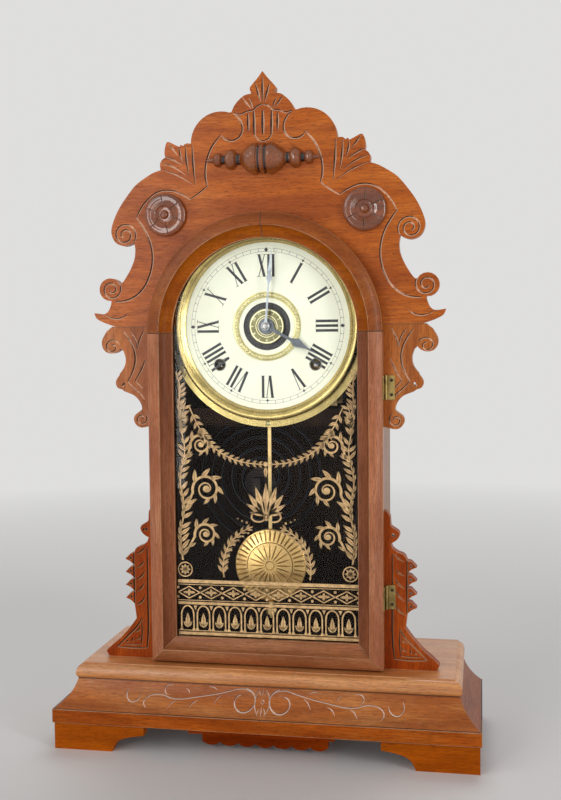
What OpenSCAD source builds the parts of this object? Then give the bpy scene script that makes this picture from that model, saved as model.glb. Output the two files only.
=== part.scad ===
// Walnut parlour shelf clock with a glazed door, a carved crest and an open brass movement.
// Front faces -Y, +X is the viewer's right, +Z is up, and z = 0 is the shelf.

/* [Base] */
// Width of the base band, the widest piece
base_w = 351; // [330:1:430]
// Depth of the whole clock, base band to back
base_d = 134; // [126:1:180]
// Height of the bracket feet
foot_h = 22; // [18:1:30]
// Height of the flat base band
band_h = 11.5; // [8:0.5:16]
// Width of the flat boards that make the base band
band_board_w = 26; // [24:1:32]
// Height of the coved frieze
frieze_h = 22; // [18:1:30]
// How far the frieze leans in from the band's face
frieze_lean = 17.3; // [14:0.1:22]
// Thickness of the deck board
deck_t = 12.5; // [10:0.5:18]
// Length of a front foot along the front, at its top
foot_len = 77; // [60:1:90]
// Thickness of the foot boards
foot_t = 9; // [6:0.5:12]

/* [Case] */
// Outer width of the upright case
case_w = 188; // [180:1:230]
// Height of the case above the deck
case_h = 374; // [372:1:460]
// Thickness of the case boards
board_t = 8; // [6:0.5:10]
// Thickness of the sawn crest and bracket boards
fret_t = 9; // [7:0.5:10]
// Thickness of the backboard
back_t = 6; // [4:0.5:9]
// Set-back of the crest's face from the band's face
case_front_in = 40; // [38:1:44]

/* [Door] */
// Width of the door
door_w = 194; // [186:1:236]
// Width of the door's moulding
door_frame_w = 20.5; // [16:0.5:24]
// Thickness of the door's moulding
door_t = 15.7; // [13:0.1:18]
// Gap between the deck and the door
door_gap = 1.5; // [1:0.1:3]
// Gap between the back of the door and the case
door_back_gap = 0.3; // [0.2:0.1:1]
// Thickness of the door glass
glass_t = 2; // [1.5:0.1:3]
// How far the rebate for the glass is cut into the moulding
rebate_w = 3; // [2:0.1:4]
// Height of the arch's centre above the deck
arch_rise = 275.5; // [274:0.5:300]

/* [Dial] */
// Height of the dial's centre above the arch's centre
dial_rise = 5; // [0:0.5:8]
// Radius of the visible white dial
dial_r = 69; // [66:0.5:72]
// Outer radius of the bezel ring
bezel_r = 78.3; // [76:0.1:79]
// Outer radius of the dial pan's flange
flange_r = 83.5; // [81:0.1:85]
// Radius of the crest's arched opening
crest_opening_r = 80; // [79.5:0.1:80.5]
// Radius of the hole in the dial's centre
dial_hole_r = 19.8; // [17:0.1:22]
// Radius of the alarm disc
alarm_r = 14.6; // [12:0.1:16]
// Length of the minute hand from its centre
minute_len = 63; // [56:1:66]
// Length of the hour hand from its centre
hour_len = 48; // [40:1:52]
// Minute hand's angle past twelve, in degrees
minute_angle = 5; // [0:1:359]
// Hour hand's angle past twelve, in degrees
hour_angle = 118.4; // [0:0.1:359]

/* [Movement] */
// Distance between the two plates
plate_gap = 33.6; // [33.6:0.1:40]
// Thickness of a plate
plate_t = 1.4; // [1.2:0.1:1.8]
// Sideways distance of the winding arbors from the middle
wind_x = 40.3; // [39.5:0.1:41]
// Distance of the winding arbors below the dial's centre
wind_drop = 31.6; // [31:0.1:33]
// Radius of a wound mainspring
spring_r = 24; // [20:0.5:25]
// Width of the mainspring
spring_w = 17; // [14:0.5:18]

/* [Pendulum and gong] */
// Distance from the suspension to the centre of the bob
pendulum_len = 246; // [240:1:262]
// Radius of the bob
bob_r = 31; // [24:0.5:34]
// Thickness of the bob
bob_t = 9; // [6:0.5:10]
// Outer radius of the gong's coil
gong_r = 59; // [52:1:60]
// Radius of the gong's wire
gong_wire_r = 1.1; // [0.9:0.1:1.5]
// Turns of the gong's coil
gong_turns = 5; // [4:1:5]

/* [Clearances] */
// Radial clearance of a running fit
fit = 0.05; // [0.03:0.01:0.09]
// Side gap between pieces that pass each other
pass_gap = 0.3; // [0.2:0.1:0.5]

/* [Hidden] */
$fn = 96;
eps = 0.01;
far = 600;

// Heights of the base and the case
band_top = foot_h + band_h;
frieze_top = band_top + frieze_h;
deck_top = frieze_top + deck_t;
case_top_z = deck_top + case_h;
arch_z = deck_top + arch_rise;
dial_z = arch_z + dial_rise;
door_bottom = deck_top + door_gap;

// Depths, front to back
front_y = -base_d / 2;
back_y = base_d / 2;
case_y = front_y + case_front_in;
crest_back_y = case_y + fret_t;
backboard_y = back_y - back_t;
door_back_y = case_y - door_back_gap;
door_front_y = door_back_y - door_t;
deck_in = frieze_lean - 1.7;

// The case, from its middle
case_x = case_w / 2;
inner_x = case_x - board_t;
door_x = door_w / 2;
open_x = door_x - door_frame_w;

// Glass in its rebate, held by thin strips behind it
glass_front_y = door_back_y - 4.7;
glass_back_y = glass_front_y + glass_t;
glass_x = open_x + rebate_w - 0.2;

// The dial hangs behind the crest's opening
pan_y = crest_back_y;
pan_t = 0.6;
face_t = 0.6;
face_y = pan_y - face_t;
support_w = 8;
rail_t = 3.4;
supports_back_y = pan_y + pan_t + 8;

// Layers of hands and motion work, from the dial's face forwards and back
alarm_y = face_y - 1.6;
hour_hand_y = face_y - 4;
minute_hand_y = face_y - 6.6;
hand_t = 0.6;
pendulum_y = pan_y + 6;
plate_front_y = pendulum_y + 8;
plate_in_y = plate_front_y + plate_t;
plate_back_y = plate_in_y + plate_gap;
plate_rear_y = plate_back_y + plate_t;

// Arbor sizes
arbor_r = 1.4;
pivot_r = 0.8;
pipe_r = 2.6;
wind_r = 2.5;
post_r = 3;

// Wheel teeth: shares of the module and of the pitch
tooth_add = 0.8;
tooth_ded = 1.3;
tooth_root = 0.22;
tooth_tip = 0.06;
wheel_t = 1.2;

// Tooth counts and modules of the trains
great_n = 78;
great_m = 0.65;
second_pinion_n = 12;
second_n = 72;
second_m = 0.55;
centre_pinion_n = 36;
centre_n = 60;
centre_m = 0.7;
third_n = 60;
third_m = 0.6;
small_pinion_n = 6;
escape_n = 36;
escape_r = 13;
warning_pinion_n = 8;
warning_n = 60;
warning_m = 0.5;
cannon_n = 12;
cannon_m = 0.5;
minute_n = 36;
minute_pinion_n = 10;
motion_m = 0.48;
hour_n = 40;

// Places of the arbors, seen from the front, worked out from the gear distances
function mesh(m, a, b) = m * (a + b) / 2;
function polar(r, a) = r * [cos(a), sin(a)];
// The point at distance ra from a and rb from b, on the left of the way from a to b
function meet(a, b, ra, rb) =
    let (d = norm(b - a), u = (b - a) / d)
    let (along = (ra * ra - rb * rb + d * d) / (2 * d))
    let (side = sqrt(ra * ra - along * along))
    a + along * u + side * [-u.y, u.x];
function heading(a, b) = atan2(b.y - a.y, b.x - a.x);
centre_at = [0, dial_z];
great_at = [wind_x, dial_z - wind_drop];
second_at = meet(centre_at, great_at, mesh(second_m, second_n, centre_pinion_n),
                 mesh(great_m, great_n, second_pinion_n));
escape_at = centre_at + [0, 28.5];
third_at = meet(escape_at, centre_at, mesh(third_m, third_n, small_pinion_n),
                mesh(centre_m, centre_n, small_pinion_n));
verge_at = escape_at + [0, 17];
minute_wheel_at = centre_at + polar(mesh(cannon_m, cannon_n, minute_n), 215);
strike_great_at = [-great_at.x, great_at.y];
strike_second_at = [-second_at.x, second_at.y];
warning_at = strike_second_at + polar(mesh(second_m, second_n, warning_pinion_n), 66);
fly_at = warning_at + polar(mesh(warning_m, warning_n, small_pinion_n), 132);
hammer_at = centre_at + [-4, -60.5];
plate_low = -66.5;
plate_high = 57;
plate_x = 56;
low_pillar = [52, -62];
high_pillar = [50, 50];

// Layers of the trains between the plates, measured from the inside of the front plate
great_y = plate_in_y + 5.6;
ratchet_y = great_y + wheel_t + pass_gap;
spring_y = ratchet_y + wheel_t + 1.2;
second_y = plate_back_y - 4.2;
strike_second_y = second_y - 2.4;
centre_wheel_y = plate_in_y + 11.6;
escape_y = plate_in_y + 17.4;
third_y = plate_in_y + 22;
warning_y = plate_in_y + 21;

// Gong on its post, below the movement
gong_at = [-17, deck_top + 147];
gong_y = plate_rear_y + 13.6;
gong_start_r = 12;

// Hinges on the right and the catch on the left
hinge_h = 19.5;
hinge_z = [deck_top + 50, deck_top + 220.6];
hinge_leaf_t = 1;
knuckle_r = 1.5;
hinge_pin_r = 0.7;
hinge_x = door_x + knuckle_r + pass_gap;
hinge_y = case_y - knuckle_r - pass_gap;
catch_z = deck_top + 168.7;
catch_y = case_y + 17;
spindle_r = 1.5;
catch_reach = 16;
catch_swing = 40;
keeper_pin_r = 0.8;

// --- shared shapes -------------------------------------------------------------------------

// A board drawn in x and z, from y0 back to y1
module board(y0, y1) {
    translate([0, y1, 0])
        rotate([90, 0, 0])
            linear_extrude(y1 - y0)
                children();
}

// A round rod along y at a place seen from the front
module rod(at, r, y0, y1) {
    board(y0, y1)
        translate(at)
            circle(r);
}

// A turned piece: radius and depth of its section, about the y axis at a place
module turned(at, section, angle = 360, start = 0) {
    translate([at.x, 0, at.y])
        rotate([90, 0, 0])
            rotate([0, 0, start])
                rotate_extrude(angle = angle)
                    polygon([for (p = section) [p.x, -p.y]]);
}

// A box from one corner to the other
module block(a, b) {
    translate(a)
        cube(b - a);
}

module both_sides() {
    children();
    mirror([1, 0, 0])
        children();
}

function arc(c, r, a0, a1, n = 10) = [for (i = [0:n]) c + polar(r, a0 + (a1 - a0) * i / n)];
// A smooth line through a few points, with n steps for each
function pick(p, i) = p[max(0, min(len(p) - 1, i))];
function smooth(p, n = 4) = [
    for (i = [0:len(p) - 2])
        for (k = [0:n - 1])
            let (t = k / n, a = pick(p, i - 1), b = p[i], c = p[i + 1], d = pick(p, i + 2))
            0.5 * (2 * b + (c - a) * t + (2 * a - 5 * b + 4 * c - d) * t * t
                   + (3 * b - a - 3 * c + d) * t * t * t),
    p[len(p) - 1]
];
function flip(p) = [for (i = [len(p) - 1:-1:0]) [-p[i].x, p[i].y]];

// --- base ----------------------------------------------------------------------------------

// One foot's outline: distance in from the outer corner, and height
foot_outline = concat(
    [[0, 0]],
    [[0, foot_h], [foot_len, foot_h], [foot_len, foot_h * 0.68]],
    smooth([[foot_len - 1, foot_h * 0.66], [foot_len - 9, foot_h * 0.61], [foot_len - 17, foot_h * 0.52],
            [foot_len - 22.5, foot_h * 0.39], [foot_len - 25.5, foot_h * 0.2], [foot_len - 27.5, 0]], 3)
);
foot_in = 1.5;

module feet_front() {
    color("saddlebrown")
        both_sides()
            board(front_y + foot_in, front_y + foot_in + foot_t)
                translate([base_w / 2 - foot_in, 0])
                    mirror([1, 0])
                        polygon(foot_outline);
}

module feet_side() {
    rear_len = 27;
    color("saddlebrown")
        both_sides()
            translate([base_w / 2 - foot_in - foot_t, 0, 0])
                rotate([90, 0, 90])
                    linear_extrude(foot_t) {
                        intersection() {
                            translate([front_y + foot_in, 0])
                                polygon(foot_outline);
                            translate([front_y + foot_in + foot_t, 0])
                                square([far, far]);
                        }
                        translate([back_y - rear_len, 0])
                            square([rear_len, foot_h]);
                    }
}

module band_front() {
    color("saddlebrown")
        block([-base_w / 2, front_y, foot_h], [base_w / 2, front_y + band_board_w, band_top]);
}

module band_sides() {
    color("saddlebrown")
        both_sides()
            block([base_w / 2 - band_board_w, front_y + band_board_w, foot_h],
                  [base_w / 2, back_y, band_top]);
}

rail_inset = 34;
module base_back_rail() {
    color("sienna")
        block([-base_w / 2 + rail_inset, back_y - back_t, band_top],
              [base_w / 2 - rail_inset, back_y, frieze_top]);
}

strip_x = 60;
strip_h = 3.2;
module apron_strip() {
    color("saddlebrown")
        block([-strip_x, front_y + 3, foot_h - strip_h], [strip_x, front_y + 16, foot_h]);
}

// Seven round lobes hang from the apron's straight top
apron_lobes = 7;
apron_lobe_w = 15;
apron_y = front_y + 20;
module apron() {
    lobe_depth = 3;
    lobe_r = (apron_lobe_w * apron_lobe_w / 4 + lobe_depth * lobe_depth) / (2 * lobe_depth);
    cusp_z = 6.5;
    half = apron_lobes * apron_lobe_w / 2;
    color("sienna")
        board(apron_y, apron_y + 6)
            difference() {
                translate([-half, cusp_z - lobe_depth])
                    square([2 * half, foot_h - cusp_z + lobe_depth]);
                difference() {
                    translate([-half - 1, cusp_z - lobe_depth - 1])
                        square([2 * half + 2, lobe_depth + 1]);
                    for (i = [0:apron_lobes - 1])
                        translate([(i - (apron_lobes - 1) / 2) * apron_lobe_w,
                                   cusp_z - lobe_depth + lobe_r])
                            circle(lobe_r);
                }
            }
}

// The frieze's section: distance in from the band's face, and height; a hollow runs up its front
frieze_back = frieze_lean + 12;
frieze_hollow = 2.7;
// An arc from a to b whose middle lies off the straight line: to its left, or right if depth < 0
function bow(a, b, depth, n = 10) =
    let (d = norm(b - a), sag = abs(depth), r = (d * d / 4 + sag * sag) / (2 * sag), u = (b - a) / d)
    let (c = (a + b) / 2 + sign(depth) * (r - sag) * [u.y, -u.x])
    let (a0 = heading(c, a), a1 = heading(c, b))
    arc(c, r, a0, a0 + ((a1 - a0 + 540) % 360 - 180), n);
frieze_section = concat(
    [[frieze_back, band_top]],
    bow([1, band_top], [frieze_lean, frieze_top], -frieze_hollow),
    [[frieze_back, frieze_top]]
);

// A moulding along the front, and one along the right side, from the same section
module front_moulding(section) {
    translate([-base_w / 2, front_y, 0])
        rotate([90, 0, 90])
            linear_extrude(base_w)
                polygon(section);
}
module side_moulding(section, depth) {
    translate([base_w / 2, back_y, 0])
        rotate([90, 0, 0])
            linear_extrude(depth)
                polygon([for (p = section) [-p.x, p.y]]);
}
// Plan of the right mitre, from the outer front corner inwards
module mitre_plan(front) {
    corner = [base_w / 2, front_y];
    reach = 60;
    linear_extrude(far)
        polygon(front
            ? [corner, corner + [-reach, reach], [-corner.x + reach, corner.y + reach], [-corner.x, corner.y]]
            : [corner, corner + [-reach, reach], [corner.x - reach, back_y], [corner.x, back_y]]);
}

module frieze_front() {
    color("saddlebrown")
        intersection() {
            front_moulding(frieze_section);
            mitre_plan(true);
        }
}

module frieze_sides() {
    color("saddlebrown")
        both_sides()
            intersection() {
                side_moulding(frieze_section, base_d);
                mitre_plan(false);
            }
}

// The deck has a thumbnail edge on its front and sides
nose_arris = deck_in + 5.4;
deck_nose = concat(
    [[frieze_lean, frieze_top]],
    smooth([[frieze_lean, frieze_top], [deck_in, frieze_top + deck_t * 0.24],
            [deck_in + 0.5, frieze_top + deck_t * 0.6], [deck_in + 2.3, frieze_top + deck_t * 0.82],
            [nose_arris, frieze_top + deck_t * 0.93]], 4),
    [[nose_arris, deck_top]]
);
module deck() {
    color("saddlebrown")
        intersection() {
            front_moulding(concat(deck_nose, [[base_d, deck_top], [base_d, frieze_top]]));
            translate([0, back_y, 0])
                rotate([90, 0, 0])
                    linear_extrude(base_d)
                        polygon(concat([for (p = deck_nose) [p.x - base_w / 2, p.y]],
                                       [for (i = [len(deck_nose) - 1:-1:0])
                                           [base_w / 2 - deck_nose[i].x, deck_nose[i].y]]));
        }
}

// --- case ----------------------------------------------------------------------------------

crest_z = deck_top + 281.5;
module case_sides() {
    color("peru")
        difference() {
            both_sides()
                block([inner_x, case_y, deck_top], [case_x, backboard_y, case_top_z - board_t]);
            block([-case_x - 1, case_y - 1, crest_z], [case_x + 1, crest_back_y, far]);
            // The spindle of the catch runs through the left side
            translate([-case_x - 1, catch_y, catch_z])
                rotate([0, 90, 0])
                    cylinder(h = board_t + 2, r = spindle_r + fit);
        }
}

module case_top() {
    color("peru")
        block([-case_x, crest_back_y, case_top_z - board_t], [case_x, backboard_y, case_top_z]);
}

module backboard() {
    color("burlywood")
        block([-case_x, backboard_y, deck_top], [case_x, back_y, case_top_z]);
}

// --- crest and brackets --------------------------------------------------------------------

// The crest's right half, drawn from its tip to the bottom corner, above crest_z.
// kx stretches it with the case's width
kx = case_w / 188;
function above(p, z0) = [for (q = p) [q.x * kx, q.y + z0]];
crest_tip = 204.5;
crest_hump = [35.5, 149];
crest_hump_r = 25;
crest_half = concat(
    smooth([[0, crest_tip], [4.3, 199], [9.3, 193.5], [10.7, 191], [9.5, 187]], 3),
    smooth([[9.5, 187], [15.3, 185.8], [20.7, 181.5], [24, 177.3], [26, 173]], 3),
    arc(crest_hump, crest_hump_r, 108, 0, 12),
    smooth([[60.5, 149], [63.5, 149.5], [66, 148.6], [67, 147.3]], 2),
    smooth([[67, 147.3], [69, 148.5], [70.2, 146.8]], 2),
    smooth([[70.2, 146.8], [74, 148.6], [80.7, 151.2], [83, 143.5], [82.7, 140], [82.5, 138.5]], 3),
    smooth([[82.5, 138.5], [85, 137], [87, 133.5], [86.5, 128.5]], 3),
    smooth([[86.5, 128.5], [93, 126.5], [101, 122], [108.7, 116.5], [116, 108], [122.5, 99], [127, 90.5],
            [130, 81.5], [129.5, 75], [126, 69.5], [119.5, 67], [113.5, 68.5], [110.5, 70.5]], 3),
    smooth([[109.5, 64.5], [110, 57.5], [112.5, 50.5], [116, 44], [120, 38], [122.3, 35.8]], 2),
    arc([132, 31], 9.5, 150, -95, 12),
    smooth([[131.5, 18.5], [134, 13], [138.5, 10.5], [146.5, 11.5]], 3),
    smooth([[146.5, 11.5], [144.5, 7], [139.5, 4], [133, 1.5], [128, 0]], 3)
);
module crest_board() {
    color("saddlebrown")
        board(case_y, crest_back_y)
            difference() {
                polygon(above(concat(crest_half, flip(crest_half)), crest_z));
                translate(centre_at)
                    circle(crest_opening_r);
            }
}

// Turned rosettes sit over the door's shoulders
rosette_at = [82.5 * kx, crest_z + 91.5];
rosette_r = 17.5;
// Half section of a rosette: radius, and height above the crest's face. A rolled rim, a shallow
// dish that rises to a ridge, a sunk middle and its button
rosette_section = [[0, 0], [rosette_r, 0], [rosette_r, 2.6], [17, 3.8], [15.8, 4.7], [14.4, 5], [12.8, 4.7],
                   [11.2, 4.7], [9.8, 5.3], [8.6, 6.2], [7.8, 6.5], [7.3, 6.1], [7, 5.4], [5.4, 4.9],
                   [3.8, 4.9], [3.2, 5.6], [2.8, 6.9], [1.8, 7.7], [0, 8]];
module rosettes() {
    color("#2a1408")
        both_sides()
            turned(rosette_at, [for (p = rosette_section) [p.x, case_y - p.y]]);
}

// Half-round turned spindle across the crest
spindle_z = crest_z + 134.5;
spindle_end = 47.5;
spindle_half = concat(
    [[0, 12.6], [1.3, 12.6], [1.7, 11.4], [4.3, 11.4], [4.7, 12.6], [6.6, 13], [8.8, 12.6], [11.4, 11.3],
     [14, 9.3], [16.2, 7.1], [17.8, 5.4], [18.6, 4.5], [21.8, 4.5]],
    arc([26.7, 3.9], 4.6, 172, 8, 10),
    [[31.6, 3.4], [34.2, 3.4]],
    arc([37.6, 2.4], 3.4, 165, 15, 8),
    [[41.6, 2.4], [44, 1.8], [spindle_end, 0.8]]
);
module split_spindle() {
    half = spindle_half;
    section = concat(half, [[spindle_end, 0], [-spindle_end, 0]],
                     [for (i = [len(half) - 1:-1:1]) [-half[i].x, half[i].y]]);
    color("#2a1408")
        translate([0, case_y, spindle_z])
            rotate([0, 90, 0])
                rotate([0, 0, 180])
                    rotate_extrude(angle = 180)
                        polygon([for (p = section) [p.y, p.x]]);
}

// Scrolled bracket under each shoulder of the crest
upper_outline = concat(
    [[94, 0], [131, 0]],
    smooth([[136, -4], [140, -11], [140, -17], [136.5, -21.5], [131, -22.5], [126, -20.5], [124, -18]], 3),
    smooth([[121.5, -20.5], [119.8, -25.5], [119.8, -30.5], [121.5, -35], [125, -39.5]], 2),
    smooth([[125.5, -41], [128, -44.5], [128.7, -48], [127, -51.5], [123.5, -52.7]], 2),
    smooth([[121, -54.5], [117, -56], [112.5, -58], [108.5, -62], [106.3, -66.5], [106, -69.5]], 2),
    smooth([[108, -71.2], [112.3, -74.5], [113.3, -78.7], [111, -83], [106.5, -85], [99, -83.5]], 3),
    [[94, -82]]
);
module upper_brackets() {
    color("saddlebrown")
        both_sides()
            board(case_y, crest_back_y)
                difference() {
                    translate([case_x - 94, crest_z])
                        polygon(upper_outline);
                    translate([case_x + 27.5, crest_z - 48])
                        circle(1, $fn = 24);
                }
}

// Long bracket beside the lower case: a scroll, four notched teeth and a flared foot
tooth_pitch = 11.1;
lower_outline = concat(
    [[94, 130]],
    smooth([[98.5, 130], [101.5, 126.5], [102, 122], [102.3, 118]], 2),
    smooth([[104, 116.5], [108, 114], [109.5, 111.3], [108.3, 107.8], [105, 104.8], [102.3, 103.5]], 2),
    smooth([[103.5, 100], [107.5, 96.8], [112, 95.2], [114.3, 93]], 2),
    [for (i = [0:3]) each [[115.3, 90 - i * tooth_pitch], [118.8, 89.2 - i * tooth_pitch],
                           [123.3, 84.5 - i * tooth_pitch], [119, 82.6 - i * tooth_pitch],
                           [115.5, 79.5 - i * tooth_pitch]]],
    smooth([[114, 34], [120, 26], [128, 17], [135, 11], [140.5, 6]], 3),
    [[141.5, 4.5], [139, 0], [94, 0]]
);
module lower_brackets() {
    color("saddlebrown")
        both_sides()
            board(case_y, crest_back_y)
                difference() {
                    translate([case_x - 94, deck_top])
                        polygon(lower_outline);
                    for (i = [0:3])
                        translate([case_x + 24.4, deck_top + 85.4 - i * tooth_pitch])
                            circle(1, $fn = 24);
                    translate([case_x + 10, deck_top + 110.5])
                        circle(1.1, $fn = 24);
                }
}

// --- dial ----------------------------------------------------------------------------------

// Upright strips in the case and a cross rail carry the dial pan
module dial_supports() {
    pan_back = pan_y + pan_t;
    low = dial_z - flange_r - 4;
    color("burlywood") {
        both_sides()
            block([inner_x - support_w, pan_back, low], [inner_x, supports_back_y, case_top_z - board_t]);
        block([-inner_x + support_w, pan_back, dial_z - flange_r + 1],
              [inner_x - support_w, pan_back + rail_t, dial_z - flange_r + 15]);
    }
}

wind_hole_r = 4.6;
module wind_holes(r) {
    for (x = [-wind_x, wind_x])
        translate([x, great_at.y])
            circle(r);
}

module dial_pan() {
    color("darkgoldenrod")
        board(pan_y, pan_y + pan_t)
            difference() {
                translate(centre_at)
                    circle(flange_r);
                translate(centre_at)
                    circle(dial_hole_r);
                wind_holes(wind_hole_r);
            }
}

module dial_face() {
    color("ivory")
        board(face_y, pan_y)
            difference() {
                translate(centre_at)
                    circle(dial_r);
                translate(centre_at)
                    circle(dial_hole_r);
                wind_holes(wind_hole_r);
            }
}

// Rolled bezel: a sloping inner ring, a bright bead and a thin outer skirt
module bezel() {
    section = concat(
        [[dial_r + 0.1, pan_y], [dial_r + 0.1, pan_y - 2], [dial_r + 3.5, pan_y - 4.6]],
        arc([dial_r + 6, pan_y - 5], 2.5, 200, 350, 8),
        [[bezel_r - 0.3, pan_y - 4], [bezel_r, pan_y - 1], [bezel_r, pan_y]]
    );
    color("goldenrod")
        turned(centre_at, section);
}

// Grommets in the winding holes, a ring round the middle hole with two raised edges for
// its beading, and the screws of the pan
dial_screws_at = [[0, -flange_r + 3], [-flange_r + 2, -8], [flange_r - 2, -8]];
dial_ring_r = 23.5;
dial_ring_w = 5;
ring_edge_w = 1.3;
ring_edge_t = 0.8;
ring_floor_t = 0.3;
module dial_trim() {
    grommet = [[-0.2, 0], [-0.2, 0.4], [0.1, 0.6], [0.5, 0.4], [0.5, 0]];
    ring_edge = [[0, 0], [0, ring_edge_t - 0.1], [ring_edge_w / 2, ring_edge_t],
                 [ring_edge_w, ring_floor_t]];
    ring = concat(ring_edge, [for (i = [len(ring_edge) - 1:-1:0])
                                  [dial_ring_w - ring_edge[i].x, ring_edge[i].y]]);
    color("gold") {
        for (x = [-wind_x, wind_x])
            turned([x, great_at.y], [for (p = grommet) [wind_hole_r + p.x, face_y - p.y]]);
        turned(centre_at, [for (p = ring) [dial_ring_r + p.x, face_y - p.y]]);
        for (p = dial_screws_at)
            turned(centre_at + p, concat([[0, pan_y], [2, pan_y]],
                                         [for (a = [30:20:90]) [2.3 * cos(a), pan_y - 1.6 * sin(a) + 0.4]]));
    }
}

// --- movement ------------------------------------------------------------------------------

// Both plates share an outline and their pivot holes; windows lighten them
module plate_shape(holes) {
    difference() {
        translate(centre_at)
            union() {
                translate([-plate_x, plate_low])
                    square([2 * plate_x, plate_high - plate_low]);
                translate([0, plate_high - 14])
                    circle(20);
            }
        for (s = [-1, 1]) {
            translate(centre_at + [s * 50, 24])
                circle(10);
            translate(centre_at + [s * 20, -44])
                circle(8.5);
            translate(centre_at + [s * 35, 44])
                circle(7);
            translate(centre_at + [s * (plate_x + 14), -6])
                circle(22);
        }
        for (h = holes)
            translate(h.x)
                circle(h.y, $fn = 48);
    }
}
small_pivots = [second_at, third_at, escape_at, verge_at, strike_second_at, warning_at, fly_at, hammer_at];
wind_pivot_r = 1.9;
both_holes = concat(
    [for (p = small_pivots) [p, pivot_r + fit]],
    [for (p = [great_at, strike_great_at]) [p, wind_pivot_r + fit]]
);
pillars_at = [for (s = [-1, 1]) each [centre_at + [s * low_pillar.x, low_pillar.y],
                                      centre_at + [s * high_pillar.x, high_pillar.y]]];
screw_r = 1.5;
cock_x = 4;
cock_gap = 0.45;
verge_free_r = 2.2;

// The front plate carries the stud of the minute wheel and the slit cock of the suspension
module plate_front() {
    holes = concat(both_holes, [[centre_at, arbor_r + fit], [verge_at, verge_free_r]],
                   [for (p = pillars_at) [p, screw_r]]);
    color("goldenrod") {
        board(plate_front_y, plate_in_y)
            plate_shape(holes);
        rod(minute_wheel_at, 0.8, plate_front_y - 5.6, plate_front_y);
        board(pendulum_y - 2.5, plate_front_y)
            translate(verge_at + [-cock_x, 2.6])
                square([2 * cock_x, 6.4]);
        board(pendulum_y - 2.5, pendulum_y + 1.7)
            translate(verge_at)
                difference() {
                    translate([-cock_x, -0.8])
                        square([2 * cock_x, 3.4]);
                    translate([-cock_gap, -1])
                        square([2 * cock_gap, 3]);
                }
    }
}

module plate_back() {
    holes = concat(both_holes, [[centre_at, arbor_r - 0.4 + fit]], [for (p = pillars_at) [p, screw_r]]);
    color("goldenrod")
        board(plate_back_y, plate_rear_y)
            plate_shape(holes);
}

// Turned pillars between the plates, with nuts in front and stand-off posts to the backboard
module pillars() {
    color("gold")
        for (p = pillars_at) {
            rod(p, post_r, plate_in_y, plate_back_y);
            rod(p, screw_r - fit, plate_front_y - 3.5, plate_rear_y + 3);
            board(plate_front_y - 2.6, plate_front_y)
                translate(p)
                    circle(3.2, $fn = 6);
            rod(p, post_r + 0.6, plate_rear_y, backboard_y);
        }
}

// Trapezoid teeth: the tip is narrower than the root
function tooth_ring(n, m, turn) = [
    for (i = [0:n - 1])
        for (c = [[-tooth_ded, -tooth_root], [tooth_add, -tooth_tip],
                  [tooth_add, tooth_tip], [-tooth_ded, tooth_root]])
            polar(n * m / 2 + c.x * m, turn + (i + c.y) * 360 / n)
];

// A spoked wheel, its gap or its tooth facing along turn
module wheel(at, n, m, y, turn, gap = true, spokes = 4, bore = 0, t = wheel_t, hub = 3.4) {
    rim_r = n * m / 2 - tooth_ded * m - 2;
    board(y, y + t)
        translate(at)
            difference() {
                union() {
                    difference() {
                        polygon(tooth_ring(n, m, turn + (gap ? 180 / n : 0)));
                        if (rim_r > hub + 3)
                            circle(rim_r);
                    }
                    if (rim_r > hub + 3) {
                        for (i = [0:spokes - 1])
                            rotate(i * 360 / spokes + first_spoke)
                                translate([0, -0.9])
                                    square([rim_r + 0.6, 1.8]);
                        circle(hub);
                    }
                }
                if (bore > 0)
                    circle(bore, $fn = 48);
            }
}

// A lantern pinion: two shrouds and a ring of round trundles
trundle_share = 0.62;
module lantern(at, n, m, y0, y1, turn) {
    pitch_r = n * m / 2;
    shroud_r = pitch_r + m;
    shroud_t = 0.7;
    for (y = [y0, y1 - shroud_t])
        rod(at, shroud_r, y, y + shroud_t);
    for (i = [0:n - 1])
        rod(at + polar(pitch_r, turn + 180 + i * 360 / n), m * trundle_share, y0 + eps, y1 - eps, $fn = 16);
}

// A steel arbor between the plates with its two pivots
module arbor(at, r = arbor_r) {
    rod(at, r, plate_in_y + pass_gap, plate_back_y - pass_gap);
    rod(at, pivot_r, plate_front_y - 0.3, plate_rear_y + 0.3);
}

// Great wheel with its click, turning on the winding arbor; the click rides on a spoke
first_spoke = 20;
click_r = 12.6;
module great_wheel(at, next) {
    spokes = 5;
    click_turn = first_spoke + 360 / spokes;
    click_at = at + polar(click_r, click_turn);
    color("gold") {
        wheel(at, great_n, great_m, great_y, heading(at, next),
              spokes = spokes, bore = wind_r + fit, hub = 9.4);
        board(great_y + wheel_t, ratchet_y + wheel_t)
            translate(click_at) {
                circle(1.7);
                rotate(click_turn + 130)
                    translate([0, -0.9])
                        square([7, 1.8]);
            }
        board(great_y, great_y + wheel_t)
            translate(click_at)
                circle(2.6);
    }
}
module going_great_wheel() {
    great_wheel(great_at, second_at);
}
module strike_great_wheel() {
    great_wheel(strike_great_at, strike_second_at);
}

// Winding arbor: a ratchet wheel, a drum for the spring and a square for the key
ratchet_n = 18;
ratchet_r = 8.6;
wind_square = 3.2;
module winding_arbor(at) {
    color("silver") {
        rod(at, wind_r, plate_in_y + pass_gap, plate_back_y - pass_gap);
        rod(at, wind_pivot_r, plate_front_y - 2, plate_rear_y + 1);
        board(ratchet_y, ratchet_y + wheel_t)
            translate(at)
                polygon([for (i = [0:ratchet_n - 1]) each [polar(ratchet_r - 1.4, i * 360 / ratchet_n),
                                                           polar(ratchet_r, (i + 0.85) * 360 / ratchet_n)]]);
        rod(at, 4, spring_y, spring_y + spring_w);
        board(pan_y + 1.5, plate_front_y - 1)
            translate(at - [wind_square / 2, wind_square / 2])
                square(wind_square);
    }
}
module going_winding_arbor() {
    winding_arbor(great_at);
}
module strike_winding_arbor() {
    winding_arbor(strike_great_at);
}

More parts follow.
